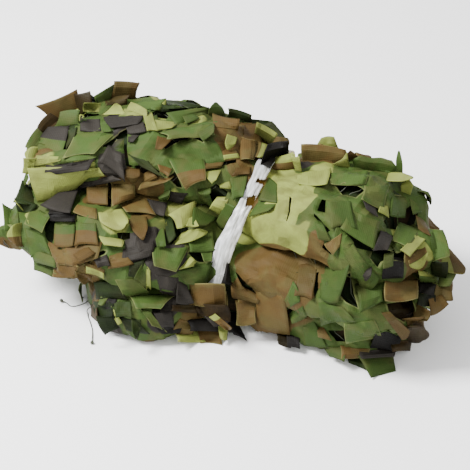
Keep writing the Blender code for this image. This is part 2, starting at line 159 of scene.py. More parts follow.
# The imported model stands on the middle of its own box. The strap's middle is the form's x = 0, and the waist
# under it gives the same for y.
waist_spots = [place(a, b, c) for a in WAIST for b in range(CELLS_WIDE + 1) for c in ROW_LINES]
strap_low, strap_high = (Vector(corner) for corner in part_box("tie_strap"))
waist_y = (min(spot.y for spot in waist_spots) + max(spot.y for spot in waist_spots)) / 2
TO_FRAME = Vector(((strap_low.x + strap_high.x) / 2, (strap_low.y + strap_high.y) / 2 - waist_y, 0.0))

# The camera stands where the photograph's did: a long lens, well above the bundle and right of its front.
CAMERA_TURN = math.radians(26)
CAMERA_TILT = math.radians(36)
CAMERA_FAR = 1.70
CAMERA_LENS = 100.0
CAMERA_FILM = 36.0
CAMERA_AIM = Vector((-0.022, 0.0, 0.083)) + TO_FRAME
PHOTO_SIDE = 470              # the photograph's width and height in pixels

view_back = Vector((
    math.sin(CAMERA_TURN) * math.cos(CAMERA_TILT),
    -math.cos(CAMERA_TURN) * math.cos(CAMERA_TILT),
    math.sin(CAMERA_TILT),
))
view_right = Vector((math.cos(CAMERA_TURN), math.sin(CAMERA_TURN), 0.0))
view_up = view_back.cross(view_right)
camera_spot = CAMERA_AIM + view_back * CAMERA_FAR
camera = bpy.data.objects.new("camera", bpy.data.cameras.new("camera"))
camera.data.lens = CAMERA_LENS
camera.data.sensor_width = CAMERA_FILM
camera.data.clip_end = 30.0
camera.matrix_world = Matrix((
    (view_right.x, view_up.x, view_back.x, camera_spot.x),
    (view_right.y, view_up.y, view_back.y, camera_spot.y),
    (view_right.z, view_up.z, view_back.z, camera_spot.z),
    (0.0, 0.0, 0.0, 1.0),
))
bpy.context.scene.collection.objects.link(camera)
bpy.context.scene.camera = camera


def sight(px, py):
    """The direction from the camera through a pixel of the photograph."""
    wide = PHOTO_SIDE * CAMERA_LENS / CAMERA_FILM
    way = view_right * ((px - PHOTO_SIDE / 2) / wide) - view_up * ((py - PHOTO_SIDE / 2) / wide) - view_back
    return way.normalized()


def pixel_of(spot):
    """The pixel of the photograph in which a point is seen."""
    away = spot - camera_spot
    wide = PHOTO_SIDE * CAMERA_LENS / CAMERA_FILM / -away.dot(view_back)
    return Vector((PHOTO_SIDE / 2 + away.dot(view_right) * wide, PHOTO_SIDE / 2 - away.dot(view_up) * wide))


# The outer cloth: polyester cloth printed in woodland camouflage and cut on three sides of each leaf, so that
# the leaf hangs by the fourth. Most leaves that face the camera lie closed, because those that show there are
# laid over the cloth further on, and more of the others stand open.
FINE = 8                      # faces along each side of a cell; all but the outermost ring are its leaf
CLOTH_THICK = 0.0008
CELL = 0.046                  # flat size of a cell
FOLD_FLAT = 0.080             # flat height of a fold's face
BULGE_SHARE = 0.5             # how much of the folds' own roundness the cloth shows between its creases
CREASES = (                   # spacing, height (negative where they sink) and place in the noise
    (0.060, 0.0058, (0.0, 0.0, 0.0)),
    (0.030, -0.0034, (0.31, 0.17, 0.53)),
    (0.013, 0.0011, (0.71, 0.37, 0.13)),
)
CREASE_GAIN = 2.4             # brings the noise's swells to about 1
CREASE_LEVEL = 0.55           # and takes off their mean
TAUT_REACH = 0.045            # how far from the tie's middle the cloth lies taut
TAUT_SUNK = 0.0012            # and how deep the tie presses it
FLOOR_CLEAR = 0.0006          # least height of the cloth over the floor
LEAST_CUT = 0.0112            # a cell keeps whole where a side is nearer its middle than this
LONGEST_CUT = 0.090           # or a side is longer than this
WHOLE_SHARE = 0.05            # further cells that keep whole
UNCUT_SHARE = 0.35            # closed leaves that don't show as cut at all
LEAF_LENGTHS = (0.042, 0.060)
TURN_SWING = 1.1              # the way that leaves hang swings this far, in radians, along the net
TURN_PER_CELL = 0.8           # and this fast
LEAF_FALL = 1.2               # how far down they hang, by how far along or across
LEAF_CUP = (-0.10, 0.16)      # how far a leaf's sides rise over its middle, by its width
LEAF_TWIST = 0.30             # the most that it twists
LYING_TWIST = 0.2             # share of its twist that a closed leaf keeps
# How a leaf of each kind bends: degrees that it rises at its hinge and turns on towards its tip, and the most
# that it is drawn out past its cut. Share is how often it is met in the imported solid.
LEAF_KINDS = {
    "lying": {"share": 0.40, "rise": (1, 7), "turn": (-9, 9), "drawn": 1.00},
    "lifted": {"share": 0.34, "rise": (20, 42), "turn": (-46, -10), "drawn": 1.45},
    "curled": {"share": 0.14, "rise": (40, 66), "turn": (20, 80), "drawn": 1.40},
    "folded": {"share": 0.12, "rise": (96, 126), "turn": (36, 58), "drawn": 1.25},
}
CLOSED_SHARE = 0.35           # lifted leaves that lie closed here, so that broad stretches stay whole
# Leaves at the bundle's edges that are set one by one, by the middle of their cells. Most lie in cells where
# the imported solid's do.
EDGE_LEAVES = {
    (0.0, 4.5, 2.91): {"kind": "lying", "toward": (-1.0, -0.1, 0.4)},
    (0.0, 4.5, 2.5): {"kind": "lying", "toward": (-1.0, -0.1, 0.4)},
    (0.0, 1.5, 1.5): {"kind": "lying", "toward": (-1.0, -0.1, -0.4)},
    (5.5, 5.0, 2.5): {"kind": "lying", "toward": (0.2, 0.5, -0.4)},
    (1.5, 5.0, 2.91): {"kind": "lying", "toward": (0.3, 0.6, 0.5)},
    (0.5, 0.0, 1.5): {"kind": "curled", "toward": (-1.0, -0.2, -0.3), "length": 0.030},
    (0.5, 0.0, 0.5): {"kind": "lying", "toward": (0.2, -0.4, -1.0)},
    (0.0, 0.5, 0.5): {"kind": "lying", "toward": (0.2, -0.4, -1.0)},
    (1.5, 0.0, 0.5): {"kind": "lying", "toward": (1.0, -0.4, -0.3)},
    (9.5, 5.0, 2.91): {"kind": "lifted", "toward": (0.2, 0.5, 1.0), "length": 0.050},
    (11.5, 5.0, 2.91): {"kind": "lifted", "toward": (0.3, 0.6, 0.6), "length": 0.052},
    (12.5, 5.0, 2.5): {"kind": "lying", "toward": (0.2, 0.2, 1.0)},
    (13.0, 4.5, 1.5): {"kind": "lifted", "toward": (0.6, 0.8, 0.0), "length": 0.070},
    (13.0, 3.5, 1.5): {"kind": "lifted", "toward": (0.3, 0.3, -1.0), "length": 0.050},
}
# Holes that show in the photograph, where a leaf stands open: middle and radius of each, in its pixels.
SHOWN_HOLES = (
    (178, 236, 8), (400, 217, 12), (110, 300, 10), (245, 330, 9), (377, 340, 10), (427, 293, 10),
    (215, 190, 9),
)
# Narrow gaps between leaves, dark inside: the corners of each, in the same pixels.
SHOWN_GAPS = (
    ((290, 197), (292, 199), (290, 211), (287, 221), (286, 221), (289, 208)),
    ((314, 214), (330, 230), (327, 232), (314, 217)),
    ((322, 200), (326, 201), (325, 212), (317, 210)),
    ((336, 187), (345, 184), (357, 186), (364, 190), (356, 197), (343, 195)),
    ((342, 229), (372, 247), (374, 254), (356, 246)),
    ((386, 215), (396, 216), (410, 206), (418, 212), (414, 224), (398, 230), (387, 228)),
    ((372, 250), (386, 250), (398, 254), (404, 250), (404, 262), (384, 257), (378, 268), (371, 258)),
    ((325, 243), (333, 254), (330, 255), (323, 247)),
    ((418, 281), (436, 280), (430, 288), (418, 290)),
    ((340, 282), (350, 272), (353, 290), (358, 308), (346, 302), (339, 294)),
    ((313, 274), (319, 272), (318, 290), (314, 298)),
    ((328, 330), (348, 330), (350, 342), (336, 342)),
    ((386, 304), (412, 300), (416, 316), (404, 322), (390, 314)),
    ((372, 336), (384, 326), (400, 338), (396, 350), (378, 350)),
    ((286, 337), (298, 336), (300, 346), (288, 345)),
    ((225, 283), (233, 283), (238, 298), (238, 324), (228, 324), (228, 300)),
    ((236, 272), (240, 275), (260, 298), (257, 300), (244, 288)),
    ((166, 217), (173, 216), (190, 231), (172, 245), (167, 243), (168, 230)),
    ((188, 253), (196, 248), (206, 256), (207, 262), (198, 262)),
    ((152, 307), (160, 305), (160, 316), (152, 322)),
    ((207, 189), (216, 184), (228, 192), (224, 201), (212, 202)),
    ((99, 306), (106, 300), (112, 306), (104, 315)),
    ((76, 105), (84, 113), (98, 113), (100, 115), (84, 116), (77, 110)),
    ((68, 128), (76, 124), (74, 132), (68, 144), (64, 138)),
    ((102, 146), (118, 134), (132, 126), (150, 123), (150, 125), (134, 129), (120, 137), (104, 148)),
    ((150, 112), (172, 108), (206, 107), (206, 109), (176, 113), (152, 115)),
    ((157, 115), (170, 114), (166, 120), (158, 119)),
    ((162, 146), (172, 139), (190, 135), (203, 139), (203, 142), (190, 138), (176, 142), (166, 149)),
    ((124, 137), (128, 134), (127, 150), (130, 168), (126, 166), (124, 150)),
    ((134, 166), (148, 163), (160, 172), (150, 177), (140, 172)),
    ((168, 177), (176, 171), (182, 188), (177, 187)),
    ((201, 166), (215, 163), (236, 160), (236, 163), (216, 167), (202, 169)),
    ((51, 217), (56, 222), (53, 240), (50, 246), (45, 236), (45, 226)),
    ((82, 263), (98, 252), (106, 250), (106, 254), (96, 257), (86, 265)),
    ((117, 233), (130, 233), (130, 238), (119, 240)),
    ((108, 148), (112, 146), (114, 150), (110, 156)),
    ((108, 182), (111, 182), (111, 206), (108, 206)),
    ((132, 276), (142, 262), (145, 262), (136, 280)),
    ((176, 304), (200, 306), (199, 309), (176, 307)),
)
GAP_REACH = 2.4               # pixels outside a gap within which the cloth is drawn back to its edge
GAP_KEEP = 14                 # and within which a cell keeps whole
GAP_CURL = 0.0022             # about how far the cloth's edge curls there
# Areas that show smooth in the photograph, with no cuts: the middle and the radius of each.
SMOOTH_AREAS = (
    (178, 150, 40), (293, 208, 50), (268, 280, 44), (70, 175, 46), (302, 250, 30), (345, 215, 22),
    (245, 140, 24), (40, 240, 26), (80, 232, 28), (88, 128, 26), (130, 130, 26), (110, 305, 24),
    (220, 300, 24),
)
HOLE_REACH = 7                # pixels from a cell's middle to its leaf's edge, about
HOLE_SHARE = 0.04             # further cells that stand open, away from the smooth areas
VIEWED_UNCUT = 0.75           # closed leaves that the camera sees no cut round
FACING = -0.25                # least share of a cell's normal towards the camera, for a leaf that it may see
OPEN_FACING = 0.1             # and for one that may stand open there
OUTLINES = ("square", "rounded", "pointed", "slanted", "wavy", "notched")


def gap_side(pixel, gap):
    """The nearest point on a gap's outline, and how far a pixel lies outside it (negative inside)."""
    corners = [Vector(corner) for corner in gap]
    nearest, inside = None, False
    for start, end in zip(corners, corners[1:] + corners[:1]):
        along = end - start
        share = min(max((pixel - start).dot(along) / along.length_squared, 0.0), 1.0)
        spot = start + along * share
        if nearest is None or (pixel - spot).length < (pixel - nearest).length:
            nearest = spot
        if (start.y > pixel.y) != (end.y > pixel.y):
            inside ^= pixel.x < start.x + along.x * (pixel.y - start.y) / along.y
    away = (pixel - nearest).length
    return nearest, -away if inside else away


def crease(point, spacing, height):
    """How far a crease of one size lifts or sinks the cloth: rounded swells that meet in sharp valleys."""
    return height * (CREASE_GAIN * abs(noise.noise(point / spacing)) - CREASE_LEVEL)


def creased(point):
    """All creases at a point. They die out at the waist, where the tie draws the cloth taut."""
    free = 1 - math.exp(-((point.x - TO_FRAME.x) / TAUT_REACH) ** 2)
    lift = sum(crease(point + Vector(away), spacing, height) for spacing, height, away in CREASES)
    return lift * free - TAUT_SUNK * (1 - free)


def outlined(outline, x, y, phase):
    """A leaf's outline: x from -1 to 1 across it and y from 0 at its hinge to 1 at its tip, shaped."""
    if outline == "rounded":
        return x * math.sqrt(1 - 0.62 * y ** 4), y * (1 - 0.26 * x * x * y)
    if outline == "pointed":
        return x * (1 - 0.82 * max(0.0, y - 0.15) ** 1.15), y * (1 + 0.06 * (1 - abs(x)))
    if outline == "slanted":
        return x * (1 - 0.12 * y), y * (0.86 + 0.20 * x * math.copysign(1, phase))
    if outline == "wavy":
        waved = x * (1 + 0.10 * math.sin(7 * y + 3 * phase)) + 0.14 * y * phase
        return waved, y * (1 + 0.05 * math.sin(5 * x))
    if outline == "notched":
        return x * (1 - 0.20 * y), y * (1 - 0.22 * math.exp(-((x - 0.3 * phase) / 0.22) ** 2))
    return x * (1 - 0.08 * y) + 0.10 * y * phase, y * (1 + 0.05 * x * phase)


def bent(rise, turn, length, along):
    """How far out and how high a leaf is and its angle, a way along it, as it rises and turns on evenly."""
    if abs(turn) < 1e-3:
        return along * math.cos(rise), along * math.sin(rise), rise
    rate = turn / length
    now = rise + rate * along
    return (math.sin(now) - math.sin(rise)) / rate, (math.cos(rise) - math.cos(now)) / rate, now


def leaf_plan(name, corners):
    """How the leaf in one cell hangs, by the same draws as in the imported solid, and its outline."""
    draw = random.Random(f"leaf {name}")
    turn = TURN_SWING * math.sin(TURN_PER_CELL * name[0]) + draw.uniform(-1.0, 1.0)
    shares = [kind["share"] for kind in LEAF_KINDS.values()]
    plan = {
        "kind": draw.choices(list(LEAF_KINDS), shares)[0],
        "toward": (math.cos(turn), math.sin(turn), -LEAF_FALL),
        "length": draw.uniform(*LEAF_LENGTHS),
    }
    draw.random()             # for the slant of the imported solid's leaf, which the outline gives here
    plan["outline"] = draw.choice(OUTLINES)
    plan["phase"] = draw.uniform(-1, 1)
    if plan["kind"] == "lifted" and draw.random() < CLOSED_SHARE:
        plan["kind"] = "lying"
    centre = sum(corners, Vector()) / 4
    normal = (corners[1] - corners[3]).cross(corners[2] - corners[0]).normalized()
    if normal.dot(view_back) > FACING:
        pixel = pixel_of(centre + TO_FRAME)
        at_hole = any((pixel - Vector(hole[:2])).length < hole[2] + HOLE_REACH for hole in SHOWN_HOLES)
        smooth = any((pixel - Vector(area[:2])).length < area[2] for area in SMOOTH_AREAS)
        at_hole |= not smooth and draw.random() < HOLE_SHARE and normal.dot(view_back) > OPEN_FACING
        plan["kind"] = draw.choice(("curled", "folded")) if at_hole else "lying"
        plan["uncut"] = not at_hole and (smooth or draw.random() < VIEWED_UNCUT)
        if any(gap_side(pixel, gap)[1] < GAP_KEEP for gap in SHOWN_GAPS):
            plan["kind"], plan["uncut"] = "lying", True
    # the front's grooves keep whole
    if normal.y < 0 and 0.5 < name[2] < 2.5 and abs(name[2] - round(name[2])) < ROW_LINES[1]:
        plan["kind"], plan["uncut"] = "lying", True
    plan.update(EDGE_LEAVES.get(name, {}))
    kind = LEAF_KINDS[plan["kind"]]
    plan["rise"] = math.radians(draw.uniform(*kind["rise"]))
    plan["turn"] = math.radians(draw.uniform(*kind["turn"]))
    plan["drawn"] = kind["drawn"]
    plan["cup"] = draw.uniform(*LEAF_CUP)
    plan["twist"] = draw.uniform(-LEAF_TWIST, LEAF_TWIST) * (LYING_TWIST if plan["kind"] == "lying" else 1.0)
    wish = Vector(plan["toward"])
    best = -2.0
    for side in range(4):
        out = centre - (corners[side] + corners[(side + 1) % 4]) / 2
        out -= normal * out.dot(normal)
        if out.normalized().dot(wish) > best:
            best = out.normalized().dot(wish)
            plan["side"] = side
    return plan


def leaf_coordinates(side, u, v):
    """A cell's own u and v as x across its leaf, from -0.5 to 0.5, and y from its hinge's side, 0 to 1."""
    x, y = ((u, v), (v, 1 - u), (1 - u, 1 - v), (1 - v, u))[side]
    return x - 0.5, y


def folded_cells(long_lines, wide_lines):
    """The folded form as a closed box of cells, bent to the folds, and the plan of each leaf cut in it."""
    bm = bmesh.new()
    bmesh.ops.create_cube(bm, size=1.0)
    bmesh.ops.translate(bm, verts=bm.verts, vec=(0.5, 0.5, 0.5))
    bmesh.ops.scale(bm, verts=bm.verts, vec=(CELLS_LONG, CELLS_WIDE, FOLD_COUNT))
    cuts = [(Vector((1, 0, 0)), a) for a in long_lines]
    cuts += [(Vector((0, 1, 0)), b) for b in wide_lines]
    cuts += [(Vector((0, 0, 1)), c) for c in ROW_LINES[1:-1]]
    for normal, reach in cuts:
        everything = bm.verts[:] + bm.edges[:] + bm.faces[:]
        bmesh.ops.bisect_plane(bm, geom=everything, plane_co=normal * reach, plane_no=normal)
    lattice = bm.verts.layers.float_vector.new("lattice")
    plain = bm.verts.layers.float_vector.new("plain")
    cell = bm.faces.layers.int.new("cell")
    spread = bm.loops.layers.uv.new("UVMap")
    names = {}
    for number, face in enumerate(bm.faces, start=1):
        names[number] = tuple(round(value, 2) for value in face.calc_center_median())
        face[cell] = number
        for loop, corner in zip(face.loops, ((0, 0), (1, 0), (1, 1), (0, 1))):
            loop[spread].uv = corner
    still = set()
    for vert in bm.verts:
        a, b, c = (round(value, 2) for value in vert.co)
        vert[lattice] = (a, b, c)
        vert[plain] = place(a, b, c)
        if c == 0 or WAIST[0] <= a <= WAIST[1]:
            still.add(vert)
        vert.co = shaken(int(a) if a == int(a) else a, int(b) if b == int(b) else b, c)
    bm.normal_update()
    moves = {}
    for vert in bm.verts:
        draw = random.Random(f"crumple {vert.co.x:.4f} {vert.co.y:.4f} {vert.co.z:.4f}")
        moves[vert] = vert.normal * (0.0 if vert in still else draw.uniform(-CRUMPLE, CRUMPLE))
    for vert, move in moves.items():
        vert.co += move
    plans = {}
    for face in bm.faces:
        name = names[face[cell]]
        at_waist = WAIST[0] < name[0] < WAIST[1]
        whole = random.Random(f"whole {name[0]} {name[1]} {name[2]}").random() < WHOLE_SHARE
        centre = face.calc_center_median()
        reach = min(((edge.verts[0].co + edge.verts[1].co) / 2 - centre).length for edge in face.edges)
        longest = max(edge.calc_length() for edge in face.edges)
        roomy = name[2] > ROW_LINES[1] and reach > LEAST_CUT and longest < LONGEST_CUT
        if roomy and not at_waist and not whole:
            corners = [loop.vert.co.copy() for loop in face.loops]
            plan = leaf_plan(name, corners) | {"corners": corners, "name": name}
            uncut = plan.get("uncut", random.Random(f"uncut {name}").random() < UNCUT_SHARE)
            if plan["kind"] != "lying" or not uncut:
                plans[face[cell]] = plan
    return bm, plans


def fine_cloth(bm, fine, depth, relief):
    """Splits each cell finely and lays the cloth on the folds' roundness, creased and a depth further in."""
    bmesh.ops.subdivide_edges(bm, edges=bm.edges[:], cuts=fine - 1, use_grid_fill=True)
    lattice = bm.verts.layers.float_vector["lattice"]
    plain = bm.verts.layers.float_vector["plain"]
    for vert in bm.verts:
        a, b, c = (round(value, 5) for value in vert[lattice])
        vert.co += (place(a, b, c) - vert[plain]) * BULGE_SHARE + TO_FRAME
    bm.normal_update()
    normals = {vert: vert.normal.copy() for vert in bm.verts}
    for vert, normal in normals.items():
        vert.co += normal * (creased(vert.co) * relief - depth)
        vert.co.z = max(vert.co.z, FLOOR_CLEAR)


OUT_ACROSS = 1.12             # the most that an outline reaches past a leaf's own faces, across
OUT_ALONG = 1.06              # and along
NEAR = 1e-4                   # cells within which a point counts as on a line


def cut_leaves(bm, plans, fine):
    """Cuts each leaf free on three sides along its outline, and bends it about its hinge."""
    cell = bm.faces.layers.int["cell"]
    spread = bm.loops.layers.uv["UVMap"]
    highlit_edge_line = bm.verts.layers.float.new("pale_and_highlit_edge")
    tone = bm.verts.layers.float.new("tone")
    margin = 1.0 / fine
    half = 0.5 - margin
    span = 1 - 2 * margin
    leaves = {number: {"spots": {}, "faces": []} for number in plans}
    for face in bm.faces:
        if face[cell] not in plans:
            continue
        leaf = leaves[face[cell]]
        side = plans[face[cell]]["side"]
        spots = {loop.vert: leaf_coordinates(side, *loop[spread].uv) for loop in face.loops}
        middle_x = sum(spot[0] for spot in spots.values()) / 4
        middle_y = sum(spot[1] for spot in spots.values()) / 4
        leaf["spots"].update(spots)
        if abs(middle_x) < half and margin < middle_y < 1 - margin:
            leaf["faces"].append(face)
    splits = []
    for number, leaf in leaves.items():
        plan = plans[number]
        corners = plan["corners"][plan["side"]:] + plan["corners"][:plan["side"]]
        for vert, (x, y) in leaf["spots"].items():
            if abs(x) > half + NEAR or not margin - NEAR < y < 1 - margin + NEAR:
                continue
            shaped_x, shaped_y = outlined(plan["outline"], x / half, (y - margin) / span, plan["phase"])
            shaped_x = min(max(shaped_x, -OUT_ACROSS), OUT_ACROSS) * half
            shaped_y = min(shaped_y, OUT_ALONG) * span + margin
            across = (corners[1] - corners[0]).lerp(corners[2] - corners[3], y)
            outward = (corners[3] - corners[0]).lerp(corners[2] - corners[1], x + 0.5)
            vert.co += across * (shaped_x - x) + outward * (shaped_y - y)
        inner = set(leaf["faces"])
        # a leaf that stands open gets a pale edge: partly its cut edge, partly a painted highlight where it
        # catches the light
        for face in inner:
            for edge in face.edges:
                if all(other in inner for other in edge.link_faces):
                    continue
                for vert in edge.verts:
                    vert[highlit_edge_line] = 0.0 if plan["kind"] == "lying" else 1.0
                if any(leaf["spots"][vert][1] > margin + NEAR for vert in edge.verts):
                    splits.append(edge)
    bmesh.ops.split_edges(bm, edges=splits)
    for number, leaf in leaves.items():
        bend_leaf(leaf["faces"], plans[number], spread, tone, margin, half)


BOX_MARGIN = 0.003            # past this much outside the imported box, a leaf is pressed back in
BOX_EASE = 0.2                # and keeps this share of what stands out further
CLOSED_DRAWN = 0.985          # size of a closed leaf, by its cut
CLOSED_RISE = 0.0006          # and how far it stands over it
OWN_RELIEF = 0.7              # share of the cloth's creases that a bent leaf keeps
CUP_LEVEL = 0.4               # how far out from a leaf's middle its cup crosses its flat, squared


def held_in(value, axis):
    """A coordinate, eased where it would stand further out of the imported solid's box than its leaves do."""
    low, high = cad_box[0][axis] - BOX_MARGIN, cad_box[1][axis] + BOX_MARGIN
    if value > high:
        return high + (value - high) * BOX_EASE
    if value < low:
        return low + (value - low) * BOX_EASE
    return value


def bend_leaf(faces, plan, spread, tone, margin, half):
    """Bends one cut leaf about its hinge: it rises, turns on, cups across and twists."""
    spots = {}
    for face in faces:
        for loop in face.loops:
            spots[loop.vert] = leaf_coordinates(plan["side"], *loop[spread].uv)
    hinge = sorted((spot[0], vert.index, vert) for vert, spot in spots.items() if spot[1] < margin + NEAR)
    start, end = hinge[0][2].co.copy(), hinge[-1][2].co.copy()
    tip = [vert.co for vert, spot in spots.items() if spot[1] > 1 - margin - NEAR]
    out = sum(tip, Vector()) / len(tip) - (start + end) / 2
    side = (end - start).normalized()
    out -= side * out.dot(side)
    length = out.length
    out.normalize()
    normal = side.cross(out)
    wide = (end - start).length
    lying = plan["kind"] == "lying"
    drawn = CLOSED_DRAWN if lying else min(plan["length"] / length, plan["drawn"])
    own_tone = random.Random(f"tone {plan['name']}").uniform(-1, 1)
    for vert, (x, y) in spots.items():
        vert[tone] = own_tone
        if y < margin + NEAR:
            continue
        share = (x / half + 1) / 2
        root = start.lerp(end, share)
        gone = vert.co - root
        along, aside, off = gone.dot(out), gone.dot(side), gone.dot(normal)
        reach, high, angle = bent(plan["rise"], plan["turn"], length * drawn, along * drawn)
        up = normal * math.cos(angle) - out * math.sin(angle)
        cup = plan["cup"] * wide * ((x / half) ** 2 - CUP_LEVEL) * min(1.0, along / length)
        twist = plan["twist"] * (along / length) * x * wide * 2
        cup += CLOSED_RISE if lying else 0.0
        vert.co = root + out * reach + normal * high + side * aside * (CLOSED_DRAWN if drawn < 1 else 1.0)
        vert.co += up * (off * OWN_RELIEF + cup + twist)
        for axis in range(3):
            vert.co[axis] = held_in(vert.co[axis], axis)


def store_flat_places(bm, offset):
    """Stores where each point lies on the flat cloth, in metres, for the print to follow."""
    lattice = bm.verts.layers.float_vector["lattice"]
    cloth = bm.verts.layers.float_vector.new("cloth")
    for vert in bm.verts:
        a, b, c = vert[lattice]
        vert[cloth] = (a * CELL + offset, b * CELL + offset / 2, c * FOLD_FLAT - offset)


CRISP_ANGLE = math.radians(17)     # an edge that turns more than this shows as a crisp crease


def new_object(name, bm, material):
    """A finished object from a bmesh, shaded smooth but for its crisp creases."""
    mesh = bpy.data.meshes.new(name)
    bm.to_mesh(mesh)
    bm.free()
    mesh.shade_smooth()
    mesh.set_sharp_from_angle(angle=CRISP_ANGLE)
    mesh.materials.append(material)
    item = bpy.data.objects.new(name, mesh)
    bpy.context.scene.collection.objects.link(item)
    return item


def give_thickness(item, thickness):
    """Gives a cloth its real thickness, half to each side."""
    sheet = item.modifiers.new("cloth thickness", "SOLIDIFY")
    sheet.thickness = thickness
    sheet.offset = 0.0


def linear(code):
    """An sRGB hex colour turned linear, for a shader's socket."""
    parts = [int(code[i:i + 2], 16) / 255 for i in (0, 2, 4)]
    return tuple(p / 12.92 if p <= 0.04045 else ((p + 0.055) / 1.055) ** 2.4 for p in parts) + (1.0,)


def add_node(tree, kind, inputs=None, **settings):
    """Adds a node with its settings. Inputs gives a socket's value, or the output that it is linked from."""
    node = tree.nodes.new(kind)
    for name, value in settings.items():
        setattr(node, name, value)
    for socket, value in (inputs or {}).items():
        if isinstance(value, bpy.types.NodeSocket):
            tree.links.new(value, node.inputs[socket])
        else:
            node.inputs[socket].default_value = value
    return node


PATCH_SCALE = 1 / 0.105       # one over the camouflage patches' size in metres
PATCH_EDGE = 0.018            # softness of a printed patch's edge
GREEN, LIGHT, BROWN, DARK, OLIVE = "32431B", "727A3B", "46361A", "25221E", "494626"
# the colour of pale leaf edges: partly the cloth's undyed cut edge, partly a painted highlight
PALE_AND_HIGHLIT_EDGE = "8A8A58"          # the pale cut edge of some leaves
WEAVE = 2 * math.pi / 0.0024  # the thread spacing is 0.5 mm, drawn at 2.4 mm so that it shows
TONE_STEP = 0.10              # how much lighter or darker a leaf is for each 1 of its tone


def camouflage(name, colours, glow):
    """Printed polyester: matt, with a faint weave and creases. Glow is how much light comes through."""
    material = bpy.data.materials.new(name)
    material.use_nodes = True
    tree = material.node_tree
    shader = tree.nodes["Principled BSDF"]
    output = tree.nodes["Material Output"]
    cloth = add_node(tree, "ShaderNodeAttribute", attribute_name="cloth").outputs["Vector"]
    paint = add_node(tree, "ShaderNodeAttribute", attribute_name="paint").outputs["Vector"]
    tone = add_node(tree, "ShaderNodeAttribute", attribute_name="tone").outputs["Fac"]
    edge = add_node(tree, "ShaderNodeAttribute", attribute_name="pale_and_highlit_edge").outputs["Fac"]
    wander = add_node(tree, "ShaderNodeTexNoise", {"Vector": cloth, "Scale": 22.0, "Detail": 2.0})
    centred = add_node(tree, "ShaderNodeVectorMath", {0: wander.outputs["Color"], 1: (0.5, 0.5, 0.5)},
                       operation="SUBTRACT")
    moved = add_node(tree, "ShaderNodeVectorMath", {0: centred.outputs["Vector"], 1: (0.035,) * 3},
                     operation="MULTIPLY")
    warped = add_node(tree, "ShaderNodeVectorMath", {0: cloth, 1: moved.outputs["Vector"]}, operation="ADD")
    wanted = add_node(tree, "ShaderNodeSeparateXYZ", {"Vector": paint})
    ground = add_node(tree, "ShaderNodeRGB")
    ground.outputs[0].default_value = linear(colours[0])
    colour = ground.outputs[0]
    aged = add_node(tree, "ShaderNodeTexNoise", {"Vector": warped.outputs["Vector"], "Scale": 34.0,
                                                 "Detail": 2.0})
    worn = add_node(tree, "ShaderNodeMapRange", {"Value": aged.outputs["Fac"], "From Min": 0.45,
                                                 "From Max": 0.62, "To Max": 0.42})
    steps = (("X", colours[1], 0.56, (0.3, 1.1, 0.7)), ("Y", colours[2], 0.57, (2.3, 0.4, 1.9)),
             ("Z", colours[3], 0.61, (1.2, 3.1, 0.2)))
    for channel, code, level, away in steps:
        apart = add_node(tree, "ShaderNodeVectorMath", {0: warped.outputs["Vector"], 1: away},
                         operation="ADD")
        blot = add_node(tree, "ShaderNodeTexNoise", {"Vector": apart.outputs["Vector"], "Scale": PATCH_SCALE,
                                                     "Detail": 1.0, "Roughness": 0.4})
        called = add_node(tree, "ShaderNodeMath", {0: wanted.outputs[channel], 1: blot.outputs["Fac"]},
                          operation="ADD")
        limits = {"From Min": level - PATCH_EDGE, "From Max": level + PATCH_EDGE}
        inside = add_node(tree, "ShaderNodeMapRange", {"Value": called.outputs[0], **limits},
                          interpolation_type="SMOOTHSTEP")
        mixed = add_node(tree, "ShaderNodeMix", {0: inside.outputs[0], 6: colour, 7: linear(code)},
                         data_type="RGBA")
        colour = mixed.outputs[2]
        if code == colours[2]:
            # the green, the light and the brown turn a little olive in places; the dark keeps its colour
            colour = add_node(tree, "ShaderNodeMix", {0: worn.outputs[0], 6: colour, 7: linear(colours[4])},
                              data_type="RGBA").outputs[2]
    faded = add_node(tree, "ShaderNodeTexNoise", {"Vector": cloth, "Scale": 38.0, "Detail": 4.0,
                                                  "Roughness": 0.6})
    fade = add_node(tree, "ShaderNodeMapRange", {"Value": faded.outputs["Fac"], "From Min": 0.3,
                                                 "From Max": 0.7, "To Min": 0.88, "To Max": 1.12})
    toned = add_node(tree, "ShaderNodeMath", {0: tone, 1: TONE_STEP, 2: fade.outputs[0]},
                     operation="MULTIPLY_ADD")
    varied = add_node(tree, "ShaderNodeHueSaturation", {"Value": toned.outputs[0], "Color": colour})
    # open leaves' edges are drawn pale: partly their cut edge, partly a painted highlight
    pale = add_node(tree, "ShaderNodeMapRange", {"Value": edge, "From Min": 0.72, "From Max": 0.86,
                                                 "To Max": 0.22})
    finished = add_node(tree, "ShaderNodeMix", {0: pale.outputs[0], 6: varied.outputs[0],
                                                7: linear(PALE_AND_HIGHLIT_EDGE)}, data_type="RGBA")
    threads = add_node(tree, "ShaderNodeVectorMath", {0: cloth, 1: (WEAVE,) * 3}, operation="MULTIPLY")
    waves = add_node(tree, "ShaderNodeVectorMath", {0: threads.outputs["Vector"]}, operation="SINE")
    woven = add_node(tree, "ShaderNodeVectorMath", {0: waves.outputs["Vector"], 1: (0.06, 0.06, 0.06)},
                     operation="DOT_PRODUCT")
    rumpled = add_node(tree, "ShaderNodeTexNoise", {"Vector": cloth, "Scale": 95.0, "Detail": 3.0})
    height = add_node(tree, "ShaderNodeMath", {0: woven.outputs["Value"], 1: rumpled.outputs["Fac"]},
                      operation="ADD")
    bump = add_node(tree, "ShaderNodeBump", {"Strength": 0.55, "Distance": 0.0016,
                                             "Height": height.outputs[0]})
    tree.links.new(finished.outputs[2], shader.inputs["Base Color"])
    tree.links.new(bump.outputs["Normal"], shader.inputs["Normal"])
    shader.inputs["Roughness"].default_value = 0.62
    shader.inputs["Specular IOR Level"].default_value = 0.10
    through = add_node(tree, "ShaderNodeBsdfTranslucent", {"Color": finished.outputs[2]})
    both = add_node(tree, "ShaderNodeMixShader", {0: glow, 1: shader.outputs[0], 2: through.outputs[0]})
    tree.links.new(both.outputs[0], output.inputs["Surface"])
    return material


